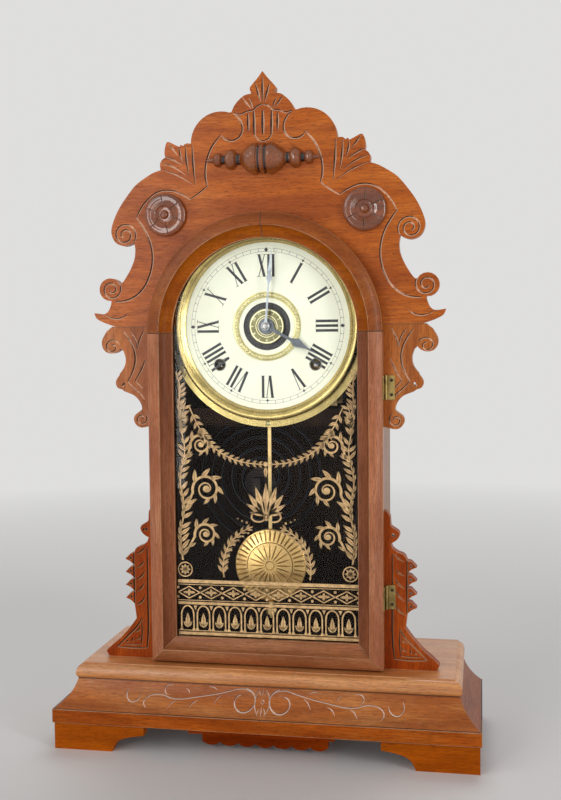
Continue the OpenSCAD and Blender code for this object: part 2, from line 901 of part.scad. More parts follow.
// Wound mainsprings: a flat strip in a spiral, with its outer end looped over the low pillar
spring_turns = 9;
spring_steps = 18;
spring_strip = 0.45;
module mainsprings() {
    steps = spring_turns * spring_steps;
    inner = 4 + pass_gap;
    outer = spring_r - spring_strip;
    pillar = centre_at + low_pillar;
    turn = heading(great_at, pillar);
    start = turn - spring_turns * 360;
    line = [for (i = [0:steps]) [inner + (outer - inner) * i / steps, start + i * 360 / spring_steps]];
    // The tail runs straight out to the pillar, one strip thick
    across = spring_strip * [sin(turn), -cos(turn)];
    tail = polar(norm(pillar - great_at) - post_r - 0.1, turn);
    color("slategray")
        both_sides()
            board(spring_y, spring_y + spring_w)
                translate(great_at)
                    polygon(concat([for (p = line) polar(p.x, p.y)],
                                   [tail, tail + across, polar(spring_r, turn) + across],
                                   [for (i = [steps - 1:-1:0]) polar(line[i].x + spring_strip, line[i].y)]));
}

// Second arbors: a lantern pinion driven by the great wheel, and the second wheel
module second_arbor(at, driver, next, y) {
    color("gold") {
        wheel(at, second_n, second_m, y, heading(at, next));
        lantern(at, second_pinion_n, great_m, great_y - 1.6, great_y + wheel_t + 1.6, heading(driver, at));
    }
    color("silver")
        arbor(at);
}
module going_second_arbor() {
    second_arbor(second_at, great_at, centre_at, second_y);
}
module strike_second_arbor() {
    second_arbor(strike_second_at, strike_great_at, warning_at, strike_second_y);
}

// Minute arbor: driven pinion, centre wheel, cannon pinion and the nut that holds the hands
hand_nut = [[0, 0], [3, 0], [3, 1.2], [2.2, 1.8], [1.9, 2.4], [0, 2.6]];
module minute_arbor() {
    color("silver") {
        rod(centre_at, arbor_r, minute_hand_y - 2.2, plate_back_y - pass_gap);
        rod(centre_at, arbor_r - 0.4, plate_back_y - 1, plate_rear_y + 0.3);
    }
    color("gold") {
        wheel(centre_at, centre_pinion_n, second_m, second_y, heading(second_at, centre_at) + 180,
              gap = false);
        wheel(centre_at, centre_n, centre_m, centre_wheel_y, heading(centre_at, third_at));
        wheel(centre_at, cannon_n, cannon_m, plate_front_y - 2.2, heading(centre_at, minute_wheel_at),
              t = 1.6);
        turned(centre_at, [for (p = hand_nut) [p.x, minute_hand_y - p.y]]);
    }
}

module third_arbor() {
    color("gold") {
        wheel(third_at, third_n, third_m, third_y, heading(third_at, escape_at));
        lantern(third_at, small_pinion_n, centre_m, centre_wheel_y - 1.5, centre_wheel_y + wheel_t + 1.5,
                heading(centre_at, third_at));
    }
    color("silver")
        arbor(third_at, 1.1);
}

module escape_arbor() {
    pitch = 360 / escape_n;
    color("gold") {
        board(escape_y, escape_y + 1)
            translate(escape_at) {
                difference() {
                    polygon([for (i = [0:escape_n - 1]) each [polar(escape_r - 2, i * pitch),
                                                              polar(escape_r, (i + 0.62) * pitch),
                                                              polar(escape_r - 0.1, (i + 0.72) * pitch),
                                                              polar(escape_r - 2, (i + 0.72) * pitch)]]);
                    circle(escape_r - 3.2);
                }
                for (i = [0:3])
                    rotate(i * 90)
                        translate([0, -0.7])
                            square([escape_r - 3, 1.4]);
                circle(2.6);
            }
        lantern(escape_at, small_pinion_n, third_m, third_y - 1.5, third_y + wheel_t + 1.5,
                heading(third_at, escape_at));
    }
    color("silver")
        arbor(escape_at, 0.9);
}

module warning_arbor() {
    color("gold") {
        wheel(warning_at, warning_n, warning_m, warning_y, heading(warning_at, fly_at), t = 1);
        lantern(warning_at, warning_pinion_n, second_m, strike_second_y - 1.3,
                strike_second_y + wheel_t + 1.3, heading(strike_second_at, warning_at));
    }
    color("silver")
        arbor(warning_at, 1.1);
}

// The fly: a two-bladed air brake on the last arbor of the striking train
fly_half = 9;
module fly() {
    color("gold") {
        translate([fly_at.x, plate_in_y + 4, fly_at.y])
            rotate([0, 25, 0])
                translate([-fly_half, 0, -0.25])
                    cube([2 * fly_half, 15, 0.5]);
        lantern(fly_at, small_pinion_n, warning_m, warning_y - 1.5, warning_y + 2.5,
                heading(warning_at, fly_at));
    }
    color("silver")
        arbor(fly_at, 0.9);
}

// Motion work in front of the plate
module minute_wheel() {
    color("gold") {
        wheel(minute_wheel_at, minute_n, cannon_m, plate_front_y - 1.8,
              heading(centre_at, minute_wheel_at) + 180, gap = false, bore = 0.8 + fit, t = 0.8);
        wheel(minute_wheel_at, minute_pinion_n, motion_m, plate_front_y - 4.6,
              heading(minute_wheel_at, centre_at), bore = 0.8 + fit, t = 2.8);
    }
}

module hour_wheel() {
    color("gold") {
        wheel(centre_at, hour_n, motion_m, plate_front_y - 4, heading(minute_wheel_at, centre_at) + 180,
              gap = false, bore = arbor_r + fit, t = 0.8);
        board(hour_hand_y, plate_front_y - 3.2)
            translate(centre_at)
                difference() {
                    circle(pipe_r);
                    circle(arbor_r + fit);
                }
    }
}

// Verge: the pallets straddle the escape wheel and the crutch holds the pendulum rod
crutch_len = 24;
module verge() {
    color("silver") {
        rod(verge_at, 0.9, pendulum_y + 2, plate_back_y - pass_gap);
        rod(verge_at, pivot_r, plate_back_y - 1, plate_rear_y + 0.3);
        board(escape_y - 1, escape_y + 2)
            translate(verge_at) {
                polygon([[-9.6, -6.4], [-9.2, -2.2], [-5, 1.2], [0, 2], [5, 1.2], [9.2, -2.2], [9.6, -6.4],
                         [8.6, -6], [8, -3], [4.5, -0.4], [0, -1.2], [-4.5, -0.4], [-8, -3], [-8.6, -6]]);
                circle(2.1);
            }
        board(pendulum_y + 2, pendulum_y + 3)
            translate(verge_at) {
                circle(1.8);
                translate([-0.5, -crutch_len])
                    square([1, crutch_len]);
            }
        for (s = [-1, 1])
            board(pendulum_y - 1.2, pendulum_y + 3)
                translate(verge_at + [s * (rod_x + 0.35 + 0.5) - 0.5, -crutch_len])
                    square([1, 2]);
        board(pendulum_y + 2, pendulum_y + 3)
            translate(verge_at + [-rod_x - 1.35, -crutch_len])
                square([2 * rod_x + 2.7, 2]);
    }
}

// Hammer: a wire arm behind the back plate with a round head over the gong
hammer_r = 3.5;
hammer_head_at = gong_at + polar(gong_r + gong_wire_r + 1.9 + hammer_r, 99.7);
module hammer() {
    arm = hammer_head_at - hammer_at;
    color("silver") {
        arbor(hammer_at, 1.1);
        rod(hammer_at, pivot_r, plate_rear_y, gong_y + 1.5);
        rod(hammer_at, 2.2, gong_y - 1.5, gong_y + 1.5);
        translate([hammer_at.x, gong_y, hammer_at.y])
            rotate([0, 90 - atan2(arm.y, arm.x), 0])
                cylinder(h = norm(arm) - 2, r = 0.9);
    }
    color("gold")
        rod(hammer_head_at, hammer_r, gong_y - 6, gong_y + 6);
}

// --- gong ----------------------------------------------------------------------------------

gong_steps = 24;
gong_sides = 6;
gong_stub = 2.4;
// Line of the wire, seen from the front: a short straight out of the post, then the spiral
gong_line = concat(
    [gong_at + [-gong_stub, -gong_start_r]],
    [for (i = [0:gong_turns * gong_steps])
        gong_at + polar(gong_start_r + (gong_r - gong_start_r) * i / (gong_turns * gong_steps),
                        -90 + i * 360 / gong_steps)]
);
// Direction of the wire at each point of its line
gong_last = len(gong_line) - 1;
function gong_heading(i) =
    i == 0 ? [1, 0] : let (d = gong_line[min(i + 1, gong_last)] - gong_line[i - 1]) d / norm(d);
gong_points = [
    for (i = [0:gong_last])
        for (k = [0:gong_sides - 1])
            let (side = [gong_heading(i).y, -gong_heading(i).x], a = k * 360 / gong_sides)
            [gong_line[i].x + gong_wire_r * cos(a) * side.x, gong_y + gong_wire_r * sin(a),
             gong_line[i].y + gong_wire_r * cos(a) * side.y]
];
function ring_point(i, k) = i * gong_sides + k % gong_sides;
gong_faces = concat(
    [for (k = [1:gong_sides - 2]) [ring_point(0, 0), ring_point(0, k), ring_point(0, k + 1)]],
    [for (i = [0:gong_last - 1])
        for (k = [0:gong_sides - 1])
            each [[ring_point(i, k), ring_point(i + 1, k), ring_point(i + 1, k + 1)],
                  [ring_point(i, k), ring_point(i + 1, k + 1), ring_point(i, k + 1)]]],
    [for (k = [1:gong_sides - 2])
        [ring_point(gong_last, 0), ring_point(gong_last, k + 1), ring_point(gong_last, k)]]
);
// Least gap between turns, measured on the points of the line
gong_gap = min([for (i = [0:gong_last]) for (j = [i + gong_steps / 2:gong_last])
                norm(gong_line[i] - gong_line[j])]) - 2 * gong_wire_r;
echo(gong_least_gap = gong_gap);

module gong_coil() {
    color("steelblue")
        polyhedron(gong_points, gong_faces);
}

// The block that grips the wire, on a round post with a disc foot
gong_block = [7, 14];
gong_post_at = gong_at - [gong_stub + gong_block.x / 2, gong_start_r + 3 - gong_block.y / 2];
module gong_post() {
    color("dimgray") {
        board(gong_y - 5, gong_y + 5)
            translate(gong_at - [gong_stub + gong_block.x, gong_start_r + 3])
                square(gong_block);
        rod(gong_post_at, 3.4, gong_y + 5 - eps, backboard_y - 3 + eps);
        rod(gong_post_at, 14, backboard_y - 3, backboard_y);
    }
}

// --- pendulum ------------------------------------------------------------------------------

rod_x = 1.4;
rod_t = 0.8;
bob_z = verge_at.y - pendulum_len;
rod_eye_r = 7.6;
rod_eye_w = 1.5;
screw_end_r = 1.3;
ribbon_len = 12;
// Suspension ribbon, then a flat rod with an eye round the hour pipe and a screwed end
module pendulum_rod() {
    color("silver") {
        board(pendulum_y - 1.5, pendulum_y + 1.5)
            translate(verge_at) {
                translate([-0.15, -ribbon_len])
                    square([0.3, ribbon_len]);
                circle(0.15, $fn = 16);
            }
    }
    color("gold") {
        board(pendulum_y - rod_t / 2, pendulum_y + rod_t / 2)
            difference() {
                union() {
                    translate([-rod_x, bob_z - bob_r])
                        square([2 * rod_x, verge_at.y - ribbon_len - bob_z + bob_r]);
                    translate(centre_at)
                        circle(rod_eye_r + rod_eye_w);
                }
                translate(centre_at)
                    circle(rod_eye_r);
            }
        translate([0, pendulum_y, bob_z - bob_r - 14])
            cylinder(h = 14, r = screw_end_r);
    }
}

// The bob: a shallow dome on both faces inside a rounded rim, grooved behind for the rod
module pendulum_bob() {
    half = bob_t / 2;
    section = concat(
        [[0, -half], [bob_r * 0.3, -half + 0.1], [bob_r * 0.62, -half + 0.9], [bob_r * 0.8, -half + 1.9]],
        arc([bob_r - 2.2, 0], 2.2, -110, 110, 10),
        [[bob_r * 0.8, half - 1.9], [bob_r * 0.62, half - 0.9], [bob_r * 0.3, half - 0.1], [0, half]]
    );
    color("gold")
        difference() {
            turned([0, bob_z], [for (p = section) [p.x, pendulum_y + p.y]]);
            block([-rod_x - fit, pendulum_y - rod_t / 2 - fit, bob_z - bob_r - 1],
                  [rod_x + fit, pendulum_y + bob_t, bob_z + bob_r + 1]);
        }
}

module rating_nut() {
    color("gold")
        translate([0, pendulum_y, bob_z - bob_r - 10 - pass_gap])
            difference() {
                union() {
                    cylinder(h = 5, r = 4.6);
                    cylinder(h = 10, r = 2.6);
                }
                translate([0, 0, -1])
                    cylinder(h = 12, r = screw_end_r + fit);
            }
}

// --- door ----------------------------------------------------------------------------------

// Section of the moulding: distance from the middle of the door, and y.
// A hollow runs from the glass up to a ridge, and a rounded bevel falls to the outer edge
ridge_x = open_x + 9.6;
ridge_w = 1;
outer_y = door_front_y + 4.6;
lip_y = glass_front_y - 3.4;
moulding = concat(
    [[open_x, glass_front_y], [open_x, lip_y]],
    bow([open_x, lip_y], [ridge_x, door_front_y], 2.2, 8),
    [[ridge_x + ridge_w, door_front_y]],
    bow([ridge_x + ridge_w, door_front_y], [door_x, outer_y], -0.9, 6),
    [[door_x, door_back_y], [open_x + rebate_w, door_back_y], [open_x + rebate_w, glass_front_y]]
);
door_sill = door_bottom + door_frame_w;

module door_stiles() {
    color("saddlebrown")
        both_sides()
            intersection() {
                linear_extrude(arch_z)
                    polygon(moulding);
                board(door_front_y - 1, door_back_y + 1)
                    polygon([[open_x - 1, door_sill + 1], [door_x + 1, door_bottom - 1],
                             [door_x + 1, arch_z], [open_x - 1, arch_z]]);
            }
}

// The two halves of the arch meet at its top, a hair apart
mitre_gap = 0.03;
module door_arches() {
    color("saddlebrown")
        both_sides()
            turned([0, arch_z], moulding, angle = 90 - mitre_gap);
}

module door_bottom_rail() {
    color("saddlebrown")
        intersection() {
            translate([-door_x, 0, 0])
                rotate([90, 0, 90])
                    linear_extrude(door_w)
                        polygon([for (p = moulding) [p.y, door_sill + open_x - p.x]]);
            board(door_front_y - 1, door_back_y + 1)
                polygon([[-door_x - 1, door_bottom - 1], [door_x + 1, door_bottom - 1],
                         [open_x - 1, door_sill + 1], [1 - open_x, door_sill + 1]]);
        }
}

module glass_outline(x) {
    bottom = door_sill - (x - open_x);
    translate([-x, bottom])
        square([2 * x, arch_z - bottom]);
    translate([0, arch_z])
        circle(x);
}

module door_glass() {
    color("#cfe0e0", 0.35)
        board(glass_front_y, glass_back_y)
            glass_outline(glass_x);
}

module glass_strips() {
    color("sienna")
        board(glass_back_y, door_back_y)
            difference() {
                glass_outline(glass_x);
                glass_outline(glass_x - 2.4);
            }
}

// Hinges: the fixed leaf lies on the bracket's face, the door's leaf on the door's edge
leaf_w = 7;
knuckle_h = hinge_h / 3;
module hinge_screw_holes(x0) {
    for (k = [0.2, 0.8])
        translate([x0, hinge_h * k])
            circle(0.8, $fn = 24);
}
module hinge_fixed_leaves() {
    color("gold")
        for (z = hinge_z) {
            board(case_y - hinge_leaf_t, case_y)
                translate([hinge_x, z])
                    difference() {
                        union() {
                            translate([knuckle_r + 0.2, 0])
                                square([leaf_w - knuckle_r, hinge_h]);
                            square([leaf_w - knuckle_r, knuckle_h]);
                            translate([0, 2 * knuckle_h])
                                square([leaf_w - knuckle_r, knuckle_h]);
                        }
                        hinge_screw_holes(knuckle_r + 3);
                    }
            for (k = [0, 2])
                translate([hinge_x, hinge_y, z + k * knuckle_h])
                    cylinder(h = knuckle_h, r = knuckle_r);
            translate([hinge_x, hinge_y, z])
                cylinder(h = hinge_h, r = hinge_pin_r);
        }
}
module hinge_door_leaves() {
    leaf_t = 0.8;
    gap = 0.1;
    color("gold")
        for (z = hinge_z) {
            block([door_x, hinge_y - leaf_w - knuckle_r, z],
                  [door_x + leaf_t, hinge_y - knuckle_r - 0.3, z + hinge_h]);
            difference() {
                union() {
                    translate([hinge_x, hinge_y, z + knuckle_h + gap])
                        cylinder(h = knuckle_h - 2 * gap, r = knuckle_r);
                    block([door_x, hinge_y - knuckle_r - 0.4, z + knuckle_h + gap],
                          [door_x + leaf_t, hinge_y, z + 2 * knuckle_h - gap]);
                }
                translate([hinge_x, hinge_y, z])
                    cylinder(h = hinge_h, r = hinge_pin_r + fit);
            }
        }
}

// Catch: a domed knob turns a hooked tongue behind the door's left stile
tongue_x = -inner_x + 1.5;
tongue_t = 1.3;
module latch_knob() {
    color("#151210")
        translate([-case_x, catch_y, catch_z])
            rotate([0, 90, 0]) {
                translate([0, 0, -0.3 - 5.5])
                    rotate_extrude()
                        polygon([[0, 0], [1.6, 0.15], [3, 0.9], [4.1, 2.2],
                                 [4.5, 3.8], [4.1, 4.9], [3, 5.5], [0, 5.5]]);
                translate([0, 0, -1])
                    cylinder(h = board_t + 1 + 1.5, r = spindle_r);
            }
}
module latch_tongue() {
    color("gold")
        translate([tongue_x, catch_y, catch_z])
            rotate([catch_swing, 0, 0])
                rotate([90, 0, 90])
                    linear_extrude(tongue_t)
                        difference() {
                            union() {
                                circle(3.4);
                                translate([-catch_reach + 0.5, -1.8])
                                    square([catch_reach, 3.6]);
                            }
                            translate([-catch_reach + 6, 0]) {
                                circle(keeper_pin_r + 0.3);
                                translate([-keeper_pin_r - 0.3, 0])
                                    square([2 * keeper_pin_r + 0.6, 3]);
                            }
                        }
}

// The keeper on the door: a plate, an ear and a cross pin for the tongue's notch
module door_keeper() {
    ear_x = tongue_x + tongue_t + 0.8;
    pin_y = catch_y - catch_reach + 6;
    color("gold") {
        block([ear_x, door_back_y, catch_z - 6], [ear_x + 3.6, door_back_y + 0.8, catch_z + 8]);
        block([ear_x, door_back_y, catch_z - 3], [ear_x + 1, pin_y + 2, catch_z + 3]);
        translate([tongue_x - 0.4, pin_y, catch_z])
            rotate([0, 90, 0])
                cylinder(h = ear_x - tongue_x + 0.9, r = keeper_pin_r);
    }
}

// --- hands ---------------------------------------------------------------------------------

// Half of a hand's outline, as distance out and half its width
minute_half = [[3, 1.4], [7, 0.9], [34, 0.6], [37, 1.5], [39, 2.3], [41, 1.9], [43.5, 1.2], [46, 1.7], [49, 1.1],
               [minute_len, 0.2]];
hour_half = [[5, 1.7], [11, 1.3], [23, 1.1], [25.5, 2.2], [28.5, 3.8], [31, 3.2], [34.5, 1.8], [38, 0.9],
             [hour_len, 0.3]];
module hand(half, hub, bore) {
    difference() {
        union() {
            polygon(concat([for (p = half) [p.y, p.x]],
                           [for (i = [len(half) - 1:-1:0]) [-half[i].y, half[i].x]]));
            circle(hub);
        }
        circle(bore);
    }
}

module minute_hand() {
    color("silver")
        board(minute_hand_y, minute_hand_y + hand_t)
            translate(centre_at)
                rotate(-minute_angle)
                    hand(minute_half, 3.7, arbor_r + 0.02);
}

module hour_hand() {
    color("dimgray") {
        board(hour_hand_y, hour_hand_y + hand_t)
            translate(centre_at)
                rotate(-hour_angle)
                    hand(hour_half, 6.5, pipe_r + eps);
        board(hour_hand_y - 0.5, hour_hand_y)
            translate(centre_at)
                difference() {
                    circle(5);
                    circle(arbor_r + fit);
                }
    }
}

module alarm_disc() {
    color("gold") {
        board(alarm_y, alarm_y + 0.6)
            translate(centre_at)
                difference() {
                    circle(alarm_r);
                    circle(pipe_r + fit);
                }
        board(alarm_y + 0.6 - eps, pan_y + 3.4)
            translate(centre_at)
                difference() {
                    circle(3.5);
                    circle(pipe_r + fit);
                }
    }
}

feet_front();
feet_side();
band_front();
band_sides();
base_back_rail();
apron_strip();
apron();
frieze_front();
frieze_sides();
deck();
case_sides();
case_top();
backboard();
crest_board();
rosettes();
split_spindle();
upper_brackets();
lower_brackets();
dial_supports();
dial_pan();
dial_face();
bezel();
dial_trim();
plate_front();
plate_back();
pillars();
mainsprings();
going_great_wheel();
strike_great_wheel();
going_winding_arbor();
strike_winding_arbor();
going_second_arbor();
strike_second_arbor();
minute_arbor();
third_arbor();
escape_arbor();
warning_arbor();
fly();
minute_wheel();
hour_wheel();
verge();
hammer();
gong_coil();
gong_post();
pendulum_rod();
pendulum_bob();
rating_nut();
door_stiles();
door_arches();
door_bottom_rail();
door_glass();
glass_strips();
hinge_fixed_leaves();
hinge_door_leaves();
latch_knob();
latch_tongue();
door_keeper();
minute_hand();
hour_hand();
alarm_disc();
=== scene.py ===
import math

import bpy
from mathutils import Matrix, Vector


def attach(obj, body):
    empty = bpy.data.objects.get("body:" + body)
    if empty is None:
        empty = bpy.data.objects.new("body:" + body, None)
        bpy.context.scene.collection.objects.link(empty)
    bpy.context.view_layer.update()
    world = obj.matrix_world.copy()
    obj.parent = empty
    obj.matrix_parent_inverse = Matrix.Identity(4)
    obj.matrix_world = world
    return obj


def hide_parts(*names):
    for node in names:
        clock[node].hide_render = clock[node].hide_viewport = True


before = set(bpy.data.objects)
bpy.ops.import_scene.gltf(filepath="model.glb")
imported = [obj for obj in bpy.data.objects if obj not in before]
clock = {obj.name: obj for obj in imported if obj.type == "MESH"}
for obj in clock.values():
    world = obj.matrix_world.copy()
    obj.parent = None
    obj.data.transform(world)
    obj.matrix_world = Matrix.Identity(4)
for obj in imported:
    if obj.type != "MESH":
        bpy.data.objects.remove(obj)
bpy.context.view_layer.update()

bpy.ops.object.select_all(action="DESELECT")


# ---------------------------------------------------------------- Feet
# Bracket feet sawn from solid walnut, two at the front corners and a return down each side.
# They are glued under the base band. Their varnish has kept its strong orange where hands never reach.

AXES = {"x": 0, "y": 1, "z": 2}
# JOINT_SHADE is the near black of the painted shade along joints; BARE_NICK is bare wood in nicks.
JOINT_SHADE, BARE_NICK = (0.012, 0.006, 0.003), (0.58, 0.44, 0.35)


def begin(name):
    """A new material made of nodes."""
    made = bpy.data.materials.new(name)
    made.use_nodes = True
    return made


def polish(material, levels):
    """Sets the sockets of a finish that are the same all over it."""
    for socket, level in levels.items():
        material.node_tree.nodes["Principled BSDF"].inputs[socket].default_value = level


def feed(material, value, socket):
    """Leads a value that changes over the surface into a socket of the finish."""
    material.node_tree.links.new(value, material.node_tree.nodes["Principled BSDF"].inputs[socket])


def on_object(owner):
    """Where a point lies on the clock, in metres."""
    return owner.node_tree.nodes.new("ShaderNodeTexCoord").outputs["Object"]


def parted(owner, vector):
    """The X, Y and Z of a vector."""
    node = owner.node_tree.nodes.new("ShaderNodeSeparateXYZ")
    owner.node_tree.links.new(vector, node.inputs["Vector"])
    return node.outputs


def speckle(owner, scale, detail=2.0, rough=0.5, warp=0.0, where=None):
    """Noise over the object, or over the vector given."""
    noise = owner.node_tree.nodes.new("ShaderNodeTexNoise")
    for socket, level in (("Scale", scale), ("Detail", detail), ("Roughness", rough), ("Distortion", warp)):
        noise.inputs[socket].default_value = level
    owner.node_tree.links.new(on_object(owner) if where is None else where, noise.inputs["Vector"])
    return noise.outputs["Fac"]


def sums(owner, kind, first, second=0.0):
    """Two values reckoned together."""
    node = owner.node_tree.nodes.new("ShaderNodeMath")
    node.operation = kind
    for socket, value in zip(node.inputs, (first, second)):
        if isinstance(value, (int, float)):
            socket.default_value = value
        else:
            owner.node_tree.links.new(value, socket)
    return node.outputs[0]


def between(owner, value, low, high, start=0.0, end=1.0):
    """A value's run from low to high, stretched to run from start to end."""
    node = owner.node_tree.nodes.new("ShaderNodeMapRange")
    for socket, number in zip(("From Min", "From Max", "To Min", "To Max"), (low, high, start, end)):
        node.inputs[socket].default_value = number
    owner.node_tree.links.new(value, node.inputs["Value"])
    return node.outputs["Result"]


def blend(owner, amount, first, second, kind="MIX"):
    """The second colour laid over the first by an amount."""
    node = owner.node_tree.nodes.new("ShaderNodeMix")
    node.data_type, node.blend_type = "RGBA", kind
    under, over = [socket for socket in node.inputs if socket.type == "RGBA"]
    for socket, value in ((node.inputs["Factor"], amount), (under, first), (over, second)):
        if isinstance(value, float):
            socket.default_value = value
        elif isinstance(value, tuple):
            socket.default_value = (*value, 1.0)
        else:
            owner.node_tree.links.new(value, socket)
    return [socket for socket in node.outputs if socket.type == "RGBA"][0]


def walnut(name, along, mid, dark, pale, worn=0.0, gloss=0.32, figure=11.0, seed=0.0, joints=(), sheen=1.0):
    """Varnished walnut, its grain along one axis, with painted shade near the joints given as (axis, mm,
    reach).
    """
    wood = begin(name)
    add, join = wood.node_tree.nodes.new, wood.node_tree.links.new
    where = on_object(wood)

    def streaks(across, longer, detail, rough, warp=0.0):
        """Noise drawn out along the grain: so many marks a metre across it, and so many times longer."""
        fit = add("ShaderNodeMapping")
        size = [across] * 3
        size[AXES[along]] = across / longer
        fit.inputs["Scale"].default_value = size
        fit.inputs["Location"].default_value = (seed, seed * 1.7, seed * 0.6)
        join(where, fit.inputs["Vector"])
        return speckle(wood, 1.0, detail, rough, warp, fit.outputs["Vector"])

    rings = sums(wood, "PINGPONG", sums(wood, "MULTIPLY", streaks(26, 9, 2.0, 0.5, 0.4), figure), 1.0)
    cloud = streaks(60, 4.0, 3.0, 0.55)
    fibre = streaks(900, 18, 3.0, 0.6)
    pores = between(wood, streaks(2400, 13, 2.0, 0.6), 0.55, 0.66)
    colour = blend(wood, between(wood, rings, -0.5, 0.9), dark, mid)
    colour = blend(wood, between(wood, cloud, 0.45, 0.72, 0.0, 0.5), colour, pale)
    colour = blend(wood, between(wood, fibre, 0.38, 0.60, 0.50, 0.0), colour, dark)
    colour = blend(wood, between(wood, pores, 0.0, 1.0, 0.0, 0.55), colour, tuple(c * 0.25 for c in dark))
    if worn:
        rubs = between(wood, streaks(150, 2.5, 6.0, 0.75), 0.58, 0.74, 0.0, worn)
        colour = blend(wood, rubs, colour, tuple(0.6 * c + 0.12 for c in pale))
        nicks = between(wood, streaks(520, 2.2, 4.0, 0.8, 1.5), 0.70, 0.75, 0.0, worn * 1.6)
        colour = blend(wood, nicks, colour, BARE_NICK)
    if joints:
        lie = parted(wood, where)
    for axis, place, reach in joints:
        gap = sums(wood, "ABSOLUTE", sums(wood, "SUBTRACT", lie[axis.upper()], place / 1000))
        # Painted shade: the colour runs to near black along each joint.
        colour = blend(wood, between(wood, gap, 0.0, reach / 1000, 0.92, 0.0), colour, JOINT_SHADE)
    feed(wood, colour, "Base Color")
    feed(wood, between(wood, fibre, 0.3, 0.7, gloss + 0.12, gloss), "Roughness")
    polish(wood, {"Specular IOR Level": 0.23 * sheen, "Coat Weight": 0.14 * sheen, "Coat Roughness": 0.22})
    relief = add("ShaderNodeBump")
    relief.inputs["Strength"].default_value = 0.25
    relief.inputs["Distance"].default_value = 0.0004
    join(sums(wood, "SUBTRACT", sums(wood, "MULTIPLY", fibre, 0.5), pores), relief.inputs["Height"])
    feed(wood, relief.outputs["Normal"], "Normal")
    return wood


def dress(material, *names):
    """Gives whole pieces of the frame their finish."""
    for name in names:
        for place in clock[name].material_slots:
            place.material = material


FOOT_TOP, BAND_TOP, FRIEZE_TOP = 22.0, 33.5, 55.5
foot_walnut = walnut("foot_walnut", "x", (0.54, 0.115, 0.002), (0.285, 0.05, 0.001), (0.71, 0.185, 0.006),
                     seed=3.0, joints=[("z", FOOT_TOP, 0.8)], sheen=0.2)
foot_side_walnut = walnut("foot_side_walnut", "y", (0.21, 0.026, 0.001), (0.105, 0.012, 0.001),
                          (0.29, 0.046, 0.002), seed=4.0, joints=[("z", FOOT_TOP, 0.8)], sheen=0.2)
apron_walnut = walnut("apron_walnut", "x", (0.38, 0.05, 0.001), (0.19, 0.022, 0.001), (0.49, 0.088, 0.002),
                      seed=5.0, sheen=0.1)
dress(foot_walnut, "feet_front")
dress(foot_side_walnut, "feet_side")
dress(apron_walnut, "apron", "apron_strip")


# ---------------------------------------------------------------- Base
# The band, the hollow boards over it at the sides and the rail behind are walnut, nailed and glued round an
# open box. The joints between them are darkened with painted shade, and the edges are rubbed pale with a
# painted highlight.

ARCH_Z = 343.5
BASE_JOINTS = [("z", FOOT_TOP, 0.7), ("z", BAND_TOP, 0.5), ("z", FRIEZE_TOP, 1.1)]
band_walnut = walnut("band_walnut", "x", (0.54, 0.108, 0.006), (0.265, 0.045, 0.002), (0.7, 0.205, 0.026),
                     worn=0.2, seed=6.0, joints=BASE_JOINTS, sheen=0.3)
frieze_walnut = walnut("frieze_walnut", "x", (0.60, 0.172, 0.028), (0.30, 0.066, 0.008), (0.84, 0.39, 0.13),
                       worn=0.35, seed=6.5, joints=BASE_JOINTS)
side_walnut = walnut("side_walnut", "y", (0.355, 0.082, 0.013), (0.21, 0.044, 0.007), (0.50, 0.138, 0.026),
                     worn=0.35, seed=7.0, joints=BASE_JOINTS, sheen=0.6)
# Pale wood on the rubbed arrises: partly wear, partly painted highlight, with painted shade at the door's
# joints.
rubbed_highlight_edge = walnut("rubbed_highlight_edge", "x", (0.6, 0.3, 0.145), (0.36, 0.145, 0.06), (0.78, 0.47, 0.28), seed=10.0,
                   joints=[("z", ARCH_Z, 1.0), ("x", 0.0, 0.8)])


def hold(piece):
    """Makes one piece the only one that the next operators work on."""
    bpy.ops.object.select_all(action="DESELECT")
    bpy.context.view_layer.objects.active = piece
    piece.select_set(True)


def take_board(node, name, wood):
    """A copy of one board off the frame, its loose triangles merged, in one wood."""
    board = clock[node].copy()
    board.data = clock[node].data.copy()
    board.name = board.data.name = name
    bpy.context.collection.objects.link(board)
    board.data.materials.clear()
    board.data.materials.append(wood)
    for face in board.data.polygons:
        face.material_index = 0
    hold(board)
    bpy.ops.object.mode_set(mode="EDIT")
    bpy.ops.mesh.select_all(action="SELECT")
    bpy.ops.mesh.remove_doubles(threshold=0.000005)
    bpy.ops.object.mode_set(mode="OBJECT")
    bpy.ops.mesh.customdata_custom_splitnormals_clear()
    return board


def ease(board, width, sharper=50):
    """Rubs the sharp edges of the selected board round, in paler wood that is partly wear and partly painted
    highlight.
    """
    bpy.ops.object.modifier_add(type="BEVEL")
    soft = board.modifiers[-1]
    soft.width, soft.segments, soft.angle_limit = width, 2, math.radians(sharper)
    board.data.materials.append(rubbed_highlight_edge)
    soft.material = len(board.data.materials) - 1
    bpy.ops.object.modifier_apply(modifier=soft.name)


def settle(board, node, body):
    """Smooths a finished board, keeps its flats flat and puts it in its node's place."""
    bpy.ops.object.shade_smooth_by_angle(angle=math.radians(28))
    bpy.ops.object.modifier_add(type="WEIGHTED_NORMAL")
    level = board.modifiers[-1]
    level.keep_sharp, level.weight = True, 100
    bpy.ops.object.modifier_apply(modifier=level.name)
    board.select_set(False)
    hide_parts(node)
    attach(board, body)


for node, wood, width in (("band_front", band_walnut, 0.0005), ("band_sides", side_walnut, 0.0005),
                          ("frieze_sides", side_walnut, 0.0004)):
    board = take_board(node, node + "_eased", wood)
    ease(board, width)
    settle(board, node, "case")
dress(side_walnut, "base_back_rail")


# ---------------------------------------------------------------- Deck
# One wide walnut board on top of the base, its front and side edges run to a rounded nose over a small step.
# It is coloured paler than the rest, partly for rubbing and partly as a painted reflection of the window on
# its top.

